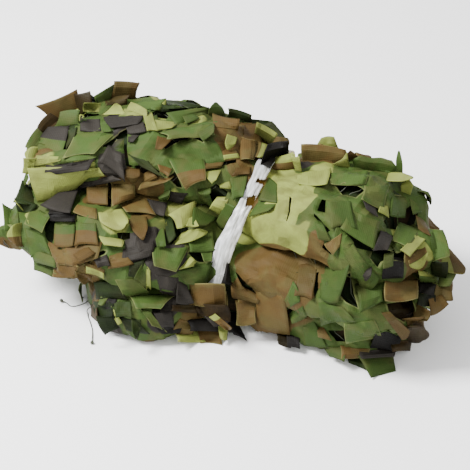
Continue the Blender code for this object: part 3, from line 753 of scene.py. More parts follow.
# Where the photograph shows each colour on the front and the top: the patch's middle in the photograph's
# pixels, its half size in millimetres and the colour that it is printed in.
PATCHES = (
    (172, 150, 50, "green"), (150, 145, 35, "green"), (200, 165, 30, "green"), (250, 140, 42, "brown"),
    (232, 165, 26, "brown"), (225, 130, 30, "brown"), (120, 112, 24, "light"), (140, 118, 20, "light"),
    (92, 124, 18, "dark"), (125, 124, 22, "dark"), (62, 130, 20, "dark"), (85, 138, 26, "green"),
    (165, 115, 26, "green"), (190, 118, 22, "light"), (200, 105, 26, "green"), (48, 168, 20, "light"),
    (52, 184, 26, "light"), (85, 168, 22, "light"), (112, 162, 26, "dark"), (65, 205, 30, "dark"),
    (92, 200, 26, "brown"), (128, 192, 34, "brown"), (155, 180, 24, "brown"), (185, 188, 24, "brown"),
    (190, 172, 18, "green"), (215, 180, 18, "light"), (228, 198, 22, "green"), (150, 212, 26, "brown"),
    (116, 222, 22, "light"), (80, 230, 34, "green"), (40, 238, 30, "green"), (62, 258, 34, "brown"),
    (90, 262, 30, "brown"), (140, 245, 34, "dark"), (172, 260, 22, "dark"), (186, 215, 30, "light"),
    (210, 215, 26, "green"), (200, 245, 26, "green"), (175, 285, 34, "green"), (205, 270, 30, "green"),
    (130, 300, 30, "green"), (160, 320, 30, "dark"), (185, 300, 22, "dark"), (205, 305, 24, "brown"),
    (110, 320, 22, "dark"), (288, 184, 24, "light"), (286, 206, 24, "light"), (310, 180, 22, "light"),
    (306, 198, 16, "light"), (280, 228, 26, "light"), (262, 232, 20, "light"), (302, 244, 22, "light"),
    (318, 174, 16, "light"), (248, 236, 14, "light"), (318, 204, 9, "green"), (311, 211, 9, "green"),
    (302, 215, 8, "green"), (297, 223, 8, "green"), (295, 231, 7, "green"), (268, 196, 14, "green"),
    (355, 172, 34, "green"), (375, 200, 40, "green"), (350, 215, 34, "green"), (395, 180, 24, "green"),
    (368, 205, 10, "dark"), (325, 150, 24, "brown"), (258, 258, 30, "brown"), (282, 278, 34, "brown"),
    (300, 290, 30, "brown"), (262, 315, 34, "brown"), (312, 275, 30, "brown"), (315, 245, 16, "brown"),
    (350, 270, 40, "green"), (362, 310, 40, "green"), (330, 315, 30, "green"), (392, 245, 18, "dark"),
    (392, 270, 20, "dark"), (410, 240, 18, "light"), (418, 262, 22, "brown"), (440, 245, 26, "dark"),
    (400, 292, 24, "brown"), (372, 290, 22, "green"), (395, 325, 22, "brown"), (444, 300, 22, "brown"),
    (300, 335, 22, "green"), (282, 325, 26, "brown"), (378, 345, 26, "green"), (415, 345, 22, "dark"),
    (430, 270, 22, "green"), (262, 177, 13, "brown"), (252, 202, 13, "brown"), (282, 175, 18, "light"),
    (276, 184, 14, "light"), (322, 192, 14, "green"), (284, 254, 18, "brown"), (300, 262, 16, "brown"),
    (150, 330, 24, "dark"), (135, 330, 20, "green"), (318, 180, 14, "light"), (246, 262, 22, "brown"),
    (272, 262, 22, "brown"), (262, 285, 28, "brown"), (290, 238, 18, "light"), (298, 250, 12, "light"),
    (268, 222, 20, "light"), (246, 230, 18, "light"), (250, 220, 14, "light"), (241, 240, 10, "light"),
)
COLOUR_CALLS = {              # how strongly each colour calls for the light, the brown and the dark print
    "green": (-0.22, -0.22, -0.22),
    "light": (0.26, -0.20, -0.20),
    "brown": (-0.06, 0.26, -0.20),
    "dark": (-0.06, -0.06, 0.26),
}

outer, outer_plans = folded_cells(range(1, CELLS_LONG), range(1, CELLS_WIDE))
fine_cloth(outer, FINE, 0.0, 1.0)
outer_tree = BVHTree.FromBMesh(outer)


def seen(px, py):
    """Where the photograph's pixel falls on the cloth or, past its edge, on a plane through the bundle."""
    way = sight(px, py)
    spot = outer_tree.ray_cast(camera_spot, way)[0]
    if spot is None:
        far = (CAMERA_AIM - camera_spot).dot(-view_back) / way.dot(-view_back)
        return camera_spot + way * far
    return spot


patch_spots = np.array([seen(px, py) for px, py, _, _ in PATCHES])
patch_reach = np.array([half_size / 1000 for _, _, half_size, _ in PATCHES])
patch_calls = np.array([COLOUR_CALLS[colour] for _, _, _, colour in PATCHES])


def painted(points, strength):
    """How strongly light, brown and dark are called for at each point."""
    gaps = np.linalg.norm(np.array(points)[:, None, :] - patch_spots[None], axis=2) / patch_reach
    return np.exp(-gaps ** 2) @ patch_calls * strength


def paint_cloth(bm, strength):
    """Stores for each point how strongly each colour is called for."""
    paint = bm.verts.layers.float_vector.new("paint")
    for vert, call in zip(bm.verts, painted([vert.co[:] for vert in bm.verts], strength)):
        vert[paint] = call


GAP_ROUND = 6                 # pixels past a gap's corners in which faces are tried
MOST_PER_PIXEL = 0.0022       # metres in one pixel, at most about
FRONT_DEPTH = 0.010           # a face within this of the first that the camera meets is in front
RIM_DEPTH = 0.014             # and an edge within this of it is drawn to the gap's outline
CURL_SIZE = 0.02              # spacing of an edge's curls
CURL_DOWN = 0.4               # how much more a gap's lower edge sinks, and its upper edge rises


def open_gaps(bm):
    """Opens each narrow gap in the cloth where the camera sees it, and curls the cloth's edge along it."""
    line = bm.verts.layers.float["pale_and_highlit_edge"]
    for number, gap in enumerate(SHOWN_GAPS):
        middle = sum((Vector(corner) for corner in gap), Vector((0.0, 0.0))) / len(gap)
        reach = max((Vector(corner) - middle).length for corner in gap) + GAP_ROUND
        hit = outer_tree.ray_cast(camera_spot, sight(*middle))[0]
        if hit is None:
            continue
        room = reach * MOST_PER_PIXEL
        near = [face for face in bm.faces if (face.calc_center_median() - hit).length < room]
        inside = []
        for face in near:
            pixel = pixel_of(face.calc_center_median())
            first = outer_tree.ray_cast(camera_spot, sight(*pixel))[0]
            fronts = first is not None and (first - face.calc_center_median()).length < FRONT_DEPTH
            if fronts and gap_side(pixel, gap)[1] < GAP_REACH:
                inside.append(face)
        rim = {vert for face in inside for vert in face.verts}
        bmesh.ops.delete(bm, geom=inside, context="FACES")
        for vert in rim:
            if not vert.is_valid:
                continue
            edge = gap_side(pixel_of(vert.co), gap)[0]
            spot, normal, _, _ = outer_tree.ray_cast(camera_spot, sight(*edge))
            if spot is None or (spot - vert.co).length > RIM_DEPTH:
                continue
            curl = noise.noise(vert.co / CURL_SIZE + Vector((number, 0.0, 0.0)))
            curl += CURL_DOWN * (1 if edge.y < middle.y else -1)
            vert.co = spot + normal * curl * GAP_CURL
            # every third gap's rim is drawn pale, partly as a painted highlight
            vert[line] = float(number % 3 == 0)


leaf_cloth = camouflage("printed polyester leaf cloth", (GREEN, LIGHT, BROWN, DARK, OLIVE), 0.07)
paint_cloth(outer, 1.0)
store_flat_places(outer, 0.0)
cut_leaves(outer, outer_plans, FINE)
open_gaps(outer)
outer_cloth = new_object("outer_cloth", outer, leaf_cloth)
give_thickness(outer_cloth, CLOTH_THICK)
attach(outer_cloth, "root")
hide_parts("net_bundle")

# The layers under it: the same net, folded on. A second cloth with its own cuts shows through the open
# leaves, and a third closes what is left. Both have the print's colours darkened as painted shade, the
# third so dark that only its folds are made out.
SECOND_DEPTH = 0.012          # how far inside the outer cloth's place it lies
SECOND_FINE = 5               # faces along each side of a cell
SECOND_FURTHER = 0.83         # how far on along the net it is, for the print
SECOND_PRINT = 0.2            # strength of the patches that show on the outer cloth
SECOND_RISE = math.radians(16)     # the most that its leaves rise and turn on, so that they stay inside
THIRD_DEPTH = 0.026
THIRD_FINE = 3
THIRD_FURTHER = 1.57
UNDER_RELIEF = 0.8            # share of the outer cloth's creases on both
# painted shade: the print's five colours darkened for the second cloth, and darkened further for the third
PAINTED_SHADE = ("1A2610", "30341A", "281D0F", "151413", "232212")
PAINTED_DEEP_SHADE = ("0E1409", "14160C", "110D07", "0A0A09", "100F08")
second, second_plans = folded_cells([a + 0.5 for a in range(CELLS_LONG)],
                                    [b + 0.5 for b in range(CELLS_WIDE)])
for plan in second_plans.values():
    plan["rise"], plan["turn"] = min(plan["rise"], SECOND_RISE), min(plan["turn"], SECOND_RISE)
fine_cloth(second, SECOND_FINE, SECOND_DEPTH, UNDER_RELIEF)
paint_cloth(second, SECOND_PRINT)
store_flat_places(second, SECOND_FURTHER)
cut_leaves(second, second_plans, SECOND_FINE)
second_cloth = new_object("second_cloth", second, camouflage("leaf cloth in painted shade", PAINTED_SHADE, 0.05))
give_thickness(second_cloth, CLOTH_THICK)
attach(second_cloth, "root")

third, _ = folded_cells(range(1, CELLS_LONG), range(1, CELLS_WIDE))
fine_cloth(third, THIRD_FINE, THIRD_DEPTH, UNDER_RELIEF)
paint_cloth(third, 0.0)
store_flat_places(third, THIRD_FURTHER)
third_cloth = new_object("third_cloth", third, camouflage("leaf cloth in painted deep shade", PAINTED_DEEP_SHADE, 0.02))
give_thickness(third_cloth, CLOTH_THICK)
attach(third_cloth, "root")

# The leaves that show in the photograph: large cut leaves and turned-back stretches of the net that lie over
# the outer cloth, each held along one edge and free at the other. A leaf that reaches past the cloth is held
# by the edge that lies on it.
SHOWN_FINE = 9                # faces along each side of a leaf
HELD_SUNK = 0.003             # how far a held edge lies under the cloth's surface
HELD_INSIDE = 0.004           # and inside its outline
HELD_STEP = 0.01              # steps along the sight at which the cloth's nearest point is looked for
HELD_STEPS = 30               # and how many of them, nearer and further than the bundle's middle
DEPTH_SPREAD = 0.045          # the most that a leaf's corners lie nearer or further than its held edge
NEAR_MARGIN = 0.0016          # least height of a leaf over the cloth
FREE_FROM = 0.15              # share of the way from its held edge where that begins
FLOOR_MARGIN = 0.0012         # least height of its body over the floor
LEAF_CLEAR = 0.0008           # and of its lowest crease
PIXEL_SIZE = 0.0013           # metres in one pixel, about
SHOWN_CREASE = 0.0016         # height of a leaf's own creases
SHOWN_SPACINGS = (0.022, 0.012)    # and how far apart they lie, large and small
SMALL_CREASE = 0.6            # height of the small ones, by that of the large ones
FULL_FOLD = 8                 # a leaf that stands off this many millimetres or more has its whole fold
# painted shade: the colour of a leaf whose row says shade is darkened by this tone
PAINTED_SHADE_TONE = -6.6             # how much darker a leaf is that lies in the shade of the others
# the pale edge is partly a painted highlight: only leaves light enough and standing off far enough get it
EDGE_HIGHLIGHT_TONE = 0.1               # from this tone on a leaf has a pale cut edge
EDGE_HIGHLIGHT_STAND = 4                # if it stands off more than this many millimetres
TURNS_AT = 0.40               # share of the way to its free edge where a leaf turns to its second colour
TURNS_OVER = 0.2              # and over which it does
SHOWN_PRINT = 1.4             # how strongly its colours are called for
# A row gives a leaf's colour, or two from its held edge to its free one, "shade" where it lies in the others'
# shade and its colour is darkened as painted shade, and its outline where that isn't straight. A dark
# shade leaf is a near-black sheet laid where there is only deep shadow. The two ends of its held edge and
# then of its free edge follow, in the photograph's pixels, and in millimetres how far its free edge
# stands off and its middle bows.
SHOWN_LEAVES = (
    ("brown", (84, 106), (52, 116), (35, 106), (77, 89), 0, 1),
    ("brown shade", (62, 114), (48, 136), (37, 127), (50, 113), 3, 1),
    ("green shade rounded", (80, 105), (98, 105), (96, 94), (84, 95), 2, 1),
    ("light", (84, 103), (84, 112), (102, 112), (102, 103), 11, 5),
    ("dark shade rounded", (77, 104), (84, 104), (84, 112), (76, 111), 6, 2),
    ("green", (46, 130), (37, 150), (25, 147), (38, 127), 3, 1),
    ("light rounded", (26, 146), (39, 147), (34, 163), (23, 161), 8, 4),
    ("light", (38, 158), (36, 176), (22, 173), (23, 158), 5, 2),
    ("dark>green", (48, 127), (69, 127), (61, 155), (34, 147), 6, 1),
    ("green", (60, 112), (80, 110), (80, 125), (54, 128), 6, 1),
    ("green", (76, 131), (117, 132), (94, 154), (62, 159), 8, 1),
    ("dark", (80, 116), (100, 116), (101, 131), (80, 131), 11, 1),
    ("green shade", (66, 127), (78, 124), (74, 140), (66, 150), 3, 1),
    ("green", (97, 105), (114, 100), (114, 84), (94, 96), 3, 1),
    ("brown", (110, 100), (136, 99), (140, 83), (114, 81), 6, 1),
    ("brown", (112, 86), (116, 98), (136, 93), (139, 82), 11, 1),
    ("brown shade", (104, 98), (130, 95), (128, 105), (103, 108), 6, 1),
    ("light", (102, 115), (127, 114), (121, 106), (114, 104), 7, 1),
    ("light", (126, 112), (146, 118), (147, 110), (131, 102), 7, 1),
    ("light", (142, 112), (152, 112), (158, 131), (147, 131), 6, 2),
    ("dark", (103, 115), (143, 114), (138, 124), (111, 128), 8, 1),
    ("dark", (124, 124), (143, 120), (147, 131), (128, 134), 6, 1),
    ("dark", (127, 133), (142, 133), (133, 142), (128, 142), 4, 1),
    ("green", (101, 118), (106, 119), (112, 131), (103, 132), 5, 1),
    ("light", (38, 152), (64, 156), (60, 161), (30, 168), 3, 1),
    ("green", (60, 154), (98, 154), (94, 159), (58, 164), 2, 1),
    ("light", (27, 168), (98, 168), (68, 196), (38, 204), 6, 1),
    ("dark", (46, 165), (97, 156), (88, 170), (43, 176), 14, 1),
    ("light", (86, 168), (98, 166), (105, 176), (82, 179), 8, 1),
    ("dark", (108, 145), (122, 149), (125, 182), (98, 162), 12, 3),
    ("dark", (76, 184), (112, 175), (122, 180), (80, 189), 9, 1),
    ("dark", (68, 186), (80, 186), (70, 213), (40, 205), 8, 1),
    ("dark shade", (50, 198), (72, 205), (72, 216), (48, 214), 4, 1),
    ("brown", (86, 184), (109, 184), (108, 205), (86, 203), 8, 1),
    ("brown", (112, 184), (134, 183), (135, 198), (112, 207), 8, 1),
    ("brown", (79, 203), (96, 206), (97, 219), (73, 212), 8, 1),
    ("green shade", (30, 188), (38, 205), (13, 202), (22, 180), 6, 1),
    ("green shade", (14, 198), (38, 205), (28, 215), (18, 212), 4, 1),
    ("light", (14, 200), (20, 199), (29, 210), (25, 213), 7, 1),
    ("green wavy", (134, 103), (165, 99), (160, 111), (146, 111), 4, 1),
    ("green shade", (158, 100), (192, 103), (206, 108), (150, 113), 3, 1),
    ("green rounded", (208, 116), (226, 116), (221, 102), (210, 102), 4, 2),
    ("light", (159, 106), (167, 106), (166, 99), (160, 100), 6, 1),
    ("green", (166, 113), (209, 107), (212, 113), (176, 127), 7, 1),
    ("light", (150, 117), (180, 121), (172, 128), (156, 131), 6, 1),
    ("green", (180, 112), (190, 112), (200, 118), (186, 124), 9, 1),
    ("green wavy", (160, 131), (212, 121), (212, 136), (168, 139), 10, 2),
    ("green", (196, 130), (214, 122), (214, 132), (203, 141), 12, 1),
    ("brown", (158, 134), (176, 136), (162, 149), (155, 149), 11, 1),
    ("green shade", (226, 107), (228, 113), (274, 129), (270, 121), 5, 1),
    ("green shade", (222, 108), (246, 115), (245, 121), (226, 117), 6, 1),
    ("brown", (212, 113), (240, 119), (238, 132), (214, 130), 6, 1),
    ("green>brown", (168, 158), (204, 158), (206, 180), (186, 191), 9, 1),
    ("brown", (202, 163), (224, 161), (220, 168), (203, 170), 5, 1),
    ("light", (201, 171), (222, 169), (216, 180), (212, 184), 9, 1),
    ("light", (219, 184), (229, 180), (233, 190), (220, 188), 8, 1),
    ("green", (230, 174), (248, 171), (243, 197), (233, 201), 6, 1),
    ("brown", (236, 166), (252, 166), (250, 174), (232, 176), 4, 1),
    ("light rounded", (228, 131), (238, 136), (234, 150), (222, 150), 8, 3),
    ("brown>light", (222, 150), (236, 148), (240, 158), (224, 160), 5, 1),
    ("green rounded", (197, 189), (211, 187), (211, 198), (200, 197), 7, 3),
    ("brown rounded", (125, 168), (140, 168), (141, 182), (127, 184), 9, 4),
    ("green shade", (128, 154), (146, 158), (164, 178), (140, 166), 7, 1),
    ("brown", (157, 163), (173, 168), (168, 177), (160, 172), 6, 1),
    ("brown", (146, 178), (174, 176), (166, 182), (138, 190), 7, 1),
    ("brown", (140, 176), (150, 170), (158, 178), (146, 184), 5, 1),
    ("green", (158, 196), (171, 187), (168, 199), (160, 200), 8, 1),
    ("dark", (170, 190), (190, 191), (182, 204), (168, 200), 7, 1),
    ("dark", (146, 196), (168, 200), (164, 216), (154, 212), 6, 1),
    ("brown", (120, 205), (146, 197), (156, 215), (126, 212), 7, 1),
    ("brown rounded", (126, 214), (146, 214), (150, 238), (136, 242), 8, 3),
    ("light rounded", (98, 209), (121, 207), (136, 230), (100, 231), 11, 3),
    ("light", (98, 234), (124, 240), (122, 247), (104, 245), 6, 1),
    ("dark", (124, 246), (156, 236), (152, 256), (122, 262), 8, 1),
    ("dark", (136, 240), (156, 224), (158, 244), (140, 252), 6, 1),
    ("brown", (110, 253), (120, 250), (134, 264), (108, 269), 6, 1),
    ("green shade", (130, 262), (146, 254), (142, 276), (128, 276), 4, 1),
    ("green", (146, 258), (148, 262), (146, 290), (134, 279), 10, 1),
    ("light", (147, 260), (150, 266), (151, 290), (146, 291), 11, 1),
    ("green", (152, 246), (191, 242), (176, 272), (154, 266), 7, 1),
    ("green", (186, 240), (214, 226), (216, 250), (190, 252), 6, 1),
    ("green", (196, 240), (214, 238), (212, 261), (204, 262), 7, 1),
    ("light rounded", (170, 246), (184, 231), (210, 226), (206, 239), 11, 2),
    ("light", (197, 200), (192, 224), (177, 229), (168, 215), 10, 1),
    ("green", (195, 203), (218, 217), (206, 226), (192, 224), 10, 1),
    ("light", (190, 215), (193, 213), (199, 226), (186, 226), 11, 1),
    ("light", (217, 197), (229, 197), (222, 218), (209, 209), 11, 2),
    ("green", (228, 198), (238, 202), (224, 230), (216, 222), 5, 1),
    ("green", (155, 236), (163, 224), (166, 246), (157, 247), 8, 1),
    ("green shade", (164, 212), (172, 216), (176, 236), (167, 244), 5, 1),
    ("light", (176, 270), (190, 256), (197, 262), (194, 266), 10, 1),
    ("green", (176, 271), (213, 262), (206, 284), (186, 284), 8, 1),
    ("brown", (188, 284), (192, 305), (226, 308), (225, 284), 16, 2),
    ("dark", (152, 270), (178, 274), (184, 296), (160, 292), 7, 1),
    ("dark", (178, 278), (186, 284), (194, 303), (176, 303), 7, 1),
    ("green", (113, 276), (132, 276), (149, 292), (124, 297), 9, 1),
    ("green", (126, 293), (176, 295), (161, 309), (136, 309), 9, 1),
    ("green", (137, 305), (147, 307), (168, 333), (152, 326), 8, 1),
    ("dark", (152, 310), (172, 308), (174, 328), (162, 328), 6, 1),
    ("brown shade", (170, 304), (202, 303), (197, 313), (171, 311), 7, 1),
    ("brown", (182, 316), (199, 320), (192, 334), (172, 332), 9, 1),
    ("brown", (197, 330), (226, 332), (222, 345), (200, 343), 8, 1),
    ("light", (173, 331), (198, 329), (206, 342), (178, 342), 9, 1),
    ("light>brown", (202, 312), (208, 308), (232, 328), (226, 330), 26, 1),
    ("light", (214, 326), (230, 328), (227, 340), (220, 338), 18, 1),
    ("dark", (198, 312), (211, 306), (229, 322), (214, 327), 9, 1),
    ("dark shade", (222, 314), (233, 322), (247, 341), (234, 335), 9, 1),
    ("brown shade", (194, 303), (196, 316), (230, 322), (227, 305), 17, 1),
    ("brown shade", (196, 301), (222, 301), (220, 314), (198, 313), 7, 1),
    ("dark shade", (186, 320), (232, 320), (236, 333), (190, 331), 3, 1),
    ("dark shade", (152, 324), (184, 322), (180, 333), (162, 334), 1, 1),
    ("dark shade", (103, 291), (119, 294), (113, 319), (101, 313), 7, 1),
    ("green", (13, 207), (14, 233), (4, 231), (2, 203), 4, 1),
    ("brown shade", (92, 108), (76, 110), (73, 94), (90, 91), 3, 1),
    ("green shade", (254, 124), (226, 118), (228, 108), (252, 115), 4, 1),
    ("green", (322, 344), (346, 346), (344, 362), (330, 357), 4, 1),
    ("dark shade", (229, 262), (233, 286), (220, 286), (227, 262), 18, 1),
    ("dark shade", (46, 211), (78, 213), (75, 222), (50, 221), 10, 1),
    ("green", (349, 172), (374, 170), (369, 158), (347, 157), 5, 1),
    ("green shade rounded", (131, 316), (141, 316), (141, 337), (133, 342), 7, 1),
    ("green shade", (93, 281), (118, 283), (128, 300), (96, 300), 4, 1),
    ("green shade", (93, 298), (114, 296), (112, 318), (95, 316), 5, 1),
    ("brown shade", (91, 304), (97, 305), (98, 322), (91, 316), 6, 1),
    ("green shade", (96, 316), (120, 316), (120, 328), (105, 335), 6, 1),
    ("green", (103, 292), (111, 292), (104, 305), (98, 304), 8, 1),
    ("light", (107, 307), (111, 305), (122, 322), (118, 325), 9, 1),
    ("green shade", (114, 298), (130, 298), (132, 318), (116, 318), 4, 1),
    ("green shade", (118, 316), (134, 316), (150, 334), (126, 330), 5, 1),
    ("green", (2, 201), (14, 206), (20, 232), (4, 230), 8, 2),
    ("light>brown rounded", (4, 226), (24, 222), (25, 247), (10, 247), 8, 3),
    ("green", (30, 205), (51, 216), (42, 233), (24, 224), 9, 1),
    ("light pointed", (24, 213), (33, 206), (31, 226), (28, 226), 10, 1),
    ("green", (22, 220), (43, 231), (55, 263), (31, 258), 7, 2),
    ("green>brown", (55, 221), (75, 221), (73, 246), (54, 246), 7, 1),
    ("green>brown", (76, 217), (96, 219), (99, 246), (74, 246), 7, 1),
    ("brown", (46, 240), (58, 246), (80, 268), (56, 266), 5, 1),
    ("brown", (60, 243), (104, 238), (98, 258), (66, 266), 4, 1),
    ("brown", (69, 253), (88, 245), (96, 253), (80, 262), 9, 1),
    ("green", (30, 257), (55, 264), (52, 277), (34, 270), 6, 1),
    ("green", (30, 248), (54, 256), (56, 268), (34, 262), 3, 1),
    ("brown", (54, 262), (80, 264), (76, 277), (52, 277), 6, 1),
    ("brown rounded", (74, 268), (92, 274), (90, 285), (78, 284), 6, 2),
    ("brown>light", (84, 260), (106, 268), (104, 279), (86, 273), 7, 1),
    ("dark", (93, 258), (106, 252), (110, 266), (98, 268), 7, 1),
    ("brown", (240, 122), (238, 142), (263, 146), (258, 123), 7, 2),
    ("light", (257, 122), (254, 136), (270, 146), (278, 134), 24, 2),
    ("green shade", (254, 126), (280, 146), (289, 142), (272, 121), 6, 1),
    ("brown", (270, 128), (268, 140), (286, 150), (288, 138), 22, 2),
    ("brown>light", (254, 139), (250, 157), (265, 158), (271, 146), 18, 2),
    ("brown", (240, 136), (240, 160), (254, 160), (256, 140), 12, 2),
    ("dark shade", (288, 141), (268, 144), (260, 167), (288, 158), 46, 1),
    ("dark shade", (262, 150), (258, 163), (270, 168), (276, 158), 22, 1),
    ("brown>light", (269, 170), (295, 170), (293, 152), (272, 157), 8, 1),
    ("light", (284, 168), (296, 168), (295, 154), (284, 156), 9, 1),
    ("light", (296, 172), (302, 173), (299, 156), (291, 155), 5, 1),
    ("brown", (303, 163), (348, 166), (346, 150), (301, 144), 6, 1),
    ("light", (302, 151), (346, 154), (334, 137), (321, 138), 5, 1),
    ("light", (329, 165), (351, 169), (347, 152), (342, 160), 9, 1),
    ("brown rounded", (346, 162), (361, 162), (355, 151), (346, 150), 6, 1),
    ("light", (298, 174), (331, 165), (327, 184), (298, 184), 6, 1),
    ("brown", (300, 262), (318, 262), (312, 300), (294, 296), 5, 1),
    ("green", (271, 172), (277, 180), (277, 203), (258, 200), 6, 1),
    ("green", (259, 201), (277, 203), (268, 211), (249, 217), 8, 1),
    ("green", (330, 171), (373, 167), (366, 184), (329, 184), 7, 1),
    ("green", (326, 195), (350, 195), (357, 229), (331, 229), 7, 2),
    ("green", (314, 218), (322, 222), (331, 241), (318, 239), 6, 1),
    ("brown", (346, 230), (341, 246), (333, 255), (324, 244), 9, 1),
    ("green wavy", (350, 168), (401, 172), (396, 160), (360, 156), 5, 2),
    ("green rounded", (400, 173), (407, 172), (403, 151), (395, 150), 3, 1),
    ("light rounded", (386, 181), (389, 172), (412, 173), (415, 182), 9, 3),
    ("light rounded", (400, 180), (416, 179), (410, 196), (401, 193), 9, 3),
    ("green", (364, 184), (393, 178), (384, 210), (361, 199), 8, 1),
    ("light", (381, 203), (388, 205), (389, 218), (378, 212), 9, 1),
    ("green", (392, 192), (408, 199), (405, 218), (390, 216), 7, 1),
    ("dark", (361, 197), (376, 206), (378, 217), (366, 209), 9, 1),
    ("green", (409, 195), (416, 202), (422, 212), (413, 215), 4, 1),
    ("brown", (415, 213), (425, 221), (431, 236), (418, 229), 5, 1),
    ("green", (348, 203), (384, 215), (376, 250), (340, 228), 7, 2),
    ("dark", (381, 229), (394, 236), (388, 250), (373, 251), 10, 1),
    ("green", (399, 222), (420, 230), (408, 248), (392, 241), 8, 1),
    ("light", (419, 231), (427, 238), (410, 257), (400, 250), 11, 1),
    ("green", (424, 228), (443, 230), (450, 256), (430, 263), 6, 2),
    ("light>brown", (440, 245), (438, 270), (470, 275), (450, 249), 6, 1),
    ("brown>light rounded", (408, 257), (424, 244), (432, 262), (410, 275), 11, 2),
    ("brown", (256, 290), (284, 296), (290, 335), (258, 326), 4, 1),
    ("brown", (232, 281), (259, 295), (258, 304), (232, 298), 8, 2),
    ("brown", (235, 300), (257, 304), (256, 323), (236, 325), 5, 1),
    ("green", (280, 309), (284, 312), (300, 302), (293, 281), 9, 1),
    ("green", (288, 313), (302, 303), (307, 317), (292, 324), 8, 1),
    ("green", (302, 322), (313, 318), (327, 347), (306, 345), 6, 1),
    ("brown", (316, 326), (323, 326), (332, 341), (318, 337), 9, 1),
    ("brown shade", (277, 333), (290, 336), (291, 348), (278, 344), 5, 1),
    ("dark shade", (286, 333), (300, 337), (300, 349), (287, 347), 4, 1),
    ("green", (322, 268), (350, 262), (338, 302), (320, 298), 7, 2),
    ("green", (318, 297), (340, 304), (356, 322), (321, 326), 7, 2),
    ("green", (344, 320), (372, 316), (382, 338), (346, 344), 6, 2),
    ("green", (336, 240), (348, 236), (379, 278), (362, 290), 9, 1),
    ("dark rounded", (362, 268), (372, 266), (371, 281), (361, 281), 17, 1),
    ("green", (354, 284), (386, 281), (383, 301), (360, 313), 9, 1),
    ("brown", (385, 281), (417, 279), (418, 298), (385, 301), 18, 1),
    ("brown", (376, 306), (386, 308), (410, 331), (402, 340), 12, 1),
    ("brown", (414, 302), (430, 311), (427, 321), (412, 322), 9, 1),
    ("brown", (432, 284), (430, 314), (454, 301), (452, 284), 4, 1),
    ("green", (440, 268), (438, 286), (450, 286), (458, 270), 4, 1),
    ("green shade", (430, 262), (448, 262), (446, 278), (432, 276), 4, 1),
    ("light>green", (418, 270), (428, 272), (440, 282), (420, 282), 8, 1),
    ("dark shade", (418, 282), (438, 282), (434, 296), (418, 292), 4, 1),
    ("green shade", (418, 290), (436, 292), (436, 306), (417, 305), 6, 1),
    ("brown", (428, 296), (441, 293), (449, 304), (431, 316), 5, 1),
    ("brown", (402, 319), (404, 333), (426, 330), (425, 317), 5, 2),
    ("brown shade rounded", (404, 327), (404, 347), (429, 346), (430, 324), 5, 3),
    ("brown shade", (390, 340), (418, 340), (410, 351), (393, 352), 6, 2),
    ("dark shade", (378, 326), (402, 338), (396, 352), (370, 348), 4, 1),
    ("green", (352, 348), (394, 348), (396, 371), (371, 378), 6, 1),
    ("dark", (360, 350), (394, 346), (394, 357), (362, 359), 8, 1),
    ("brown", (340, 345), (371, 347), (369, 357), (341, 359), 6, 1),
    ("green shade", (348, 355), (368, 357), (366, 370), (349, 363), 4, 1),
    ("green", (384, 254), (394, 251), (393, 266), (383, 269), 7, 1),
    ("dark shade", (386, 256), (403, 258), (403, 278), (382, 279), 8, 1),
)


def colour_calls(name, y):
    """What a leaf's print calls for at a share of the way to its free edge, where it may turn to a second."""
    first, _, second = name.partition(">")
    share = min(max((y - TURNS_AT) / TURNS_OVER, 0.0), 1.0) if second else 0.0
    return Vector(COLOUR_CALLS[first]).lerp(Vector(COLOUR_CALLS[second or first]), share) * SHOWN_PRINT


def held_at(corner):
    """Where a leaf is held: the pixel and the cloth's distance there, or for the cloth's nearest point."""
    way = sight(*corner)
    far = outer_tree.ray_cast(camera_spot, way)[3]
    if far is not None:
        return Vector(corner), far
    steps = range(-HELD_STEPS, HELD_STEPS + 1)
    tries = [outer_tree.find_nearest(camera_spot + way * (CAMERA_FAR + step * HELD_STEP)) for step in steps]
    spot, normal, _, _ = min(tries, key=lambda found: found[3])
    spot -= normal * HELD_INSIDE
    return pixel_of(spot), (spot - camera_spot).length


def elsewhere(draw):
    """A leaf's own place in the print, anywhere in nine metres of it each way."""
    return Vector((draw.uniform(0, 9), draw.uniform(0, 9), draw.uniform(0, 9)))


def cloth_layers(bm):
    """Where the leaves' points keep what the cloth's material reads; new ones are made in an empty bmesh."""
    points, values = bm.verts.layers.float_vector, bm.verts.layers.float
    found = [points.get(name) or points.new(name) for name in ("cloth", "paint")]
    return found + [values.get(name) or values.new(name) for name in ("tone", "pale_and_highlit_edge")]


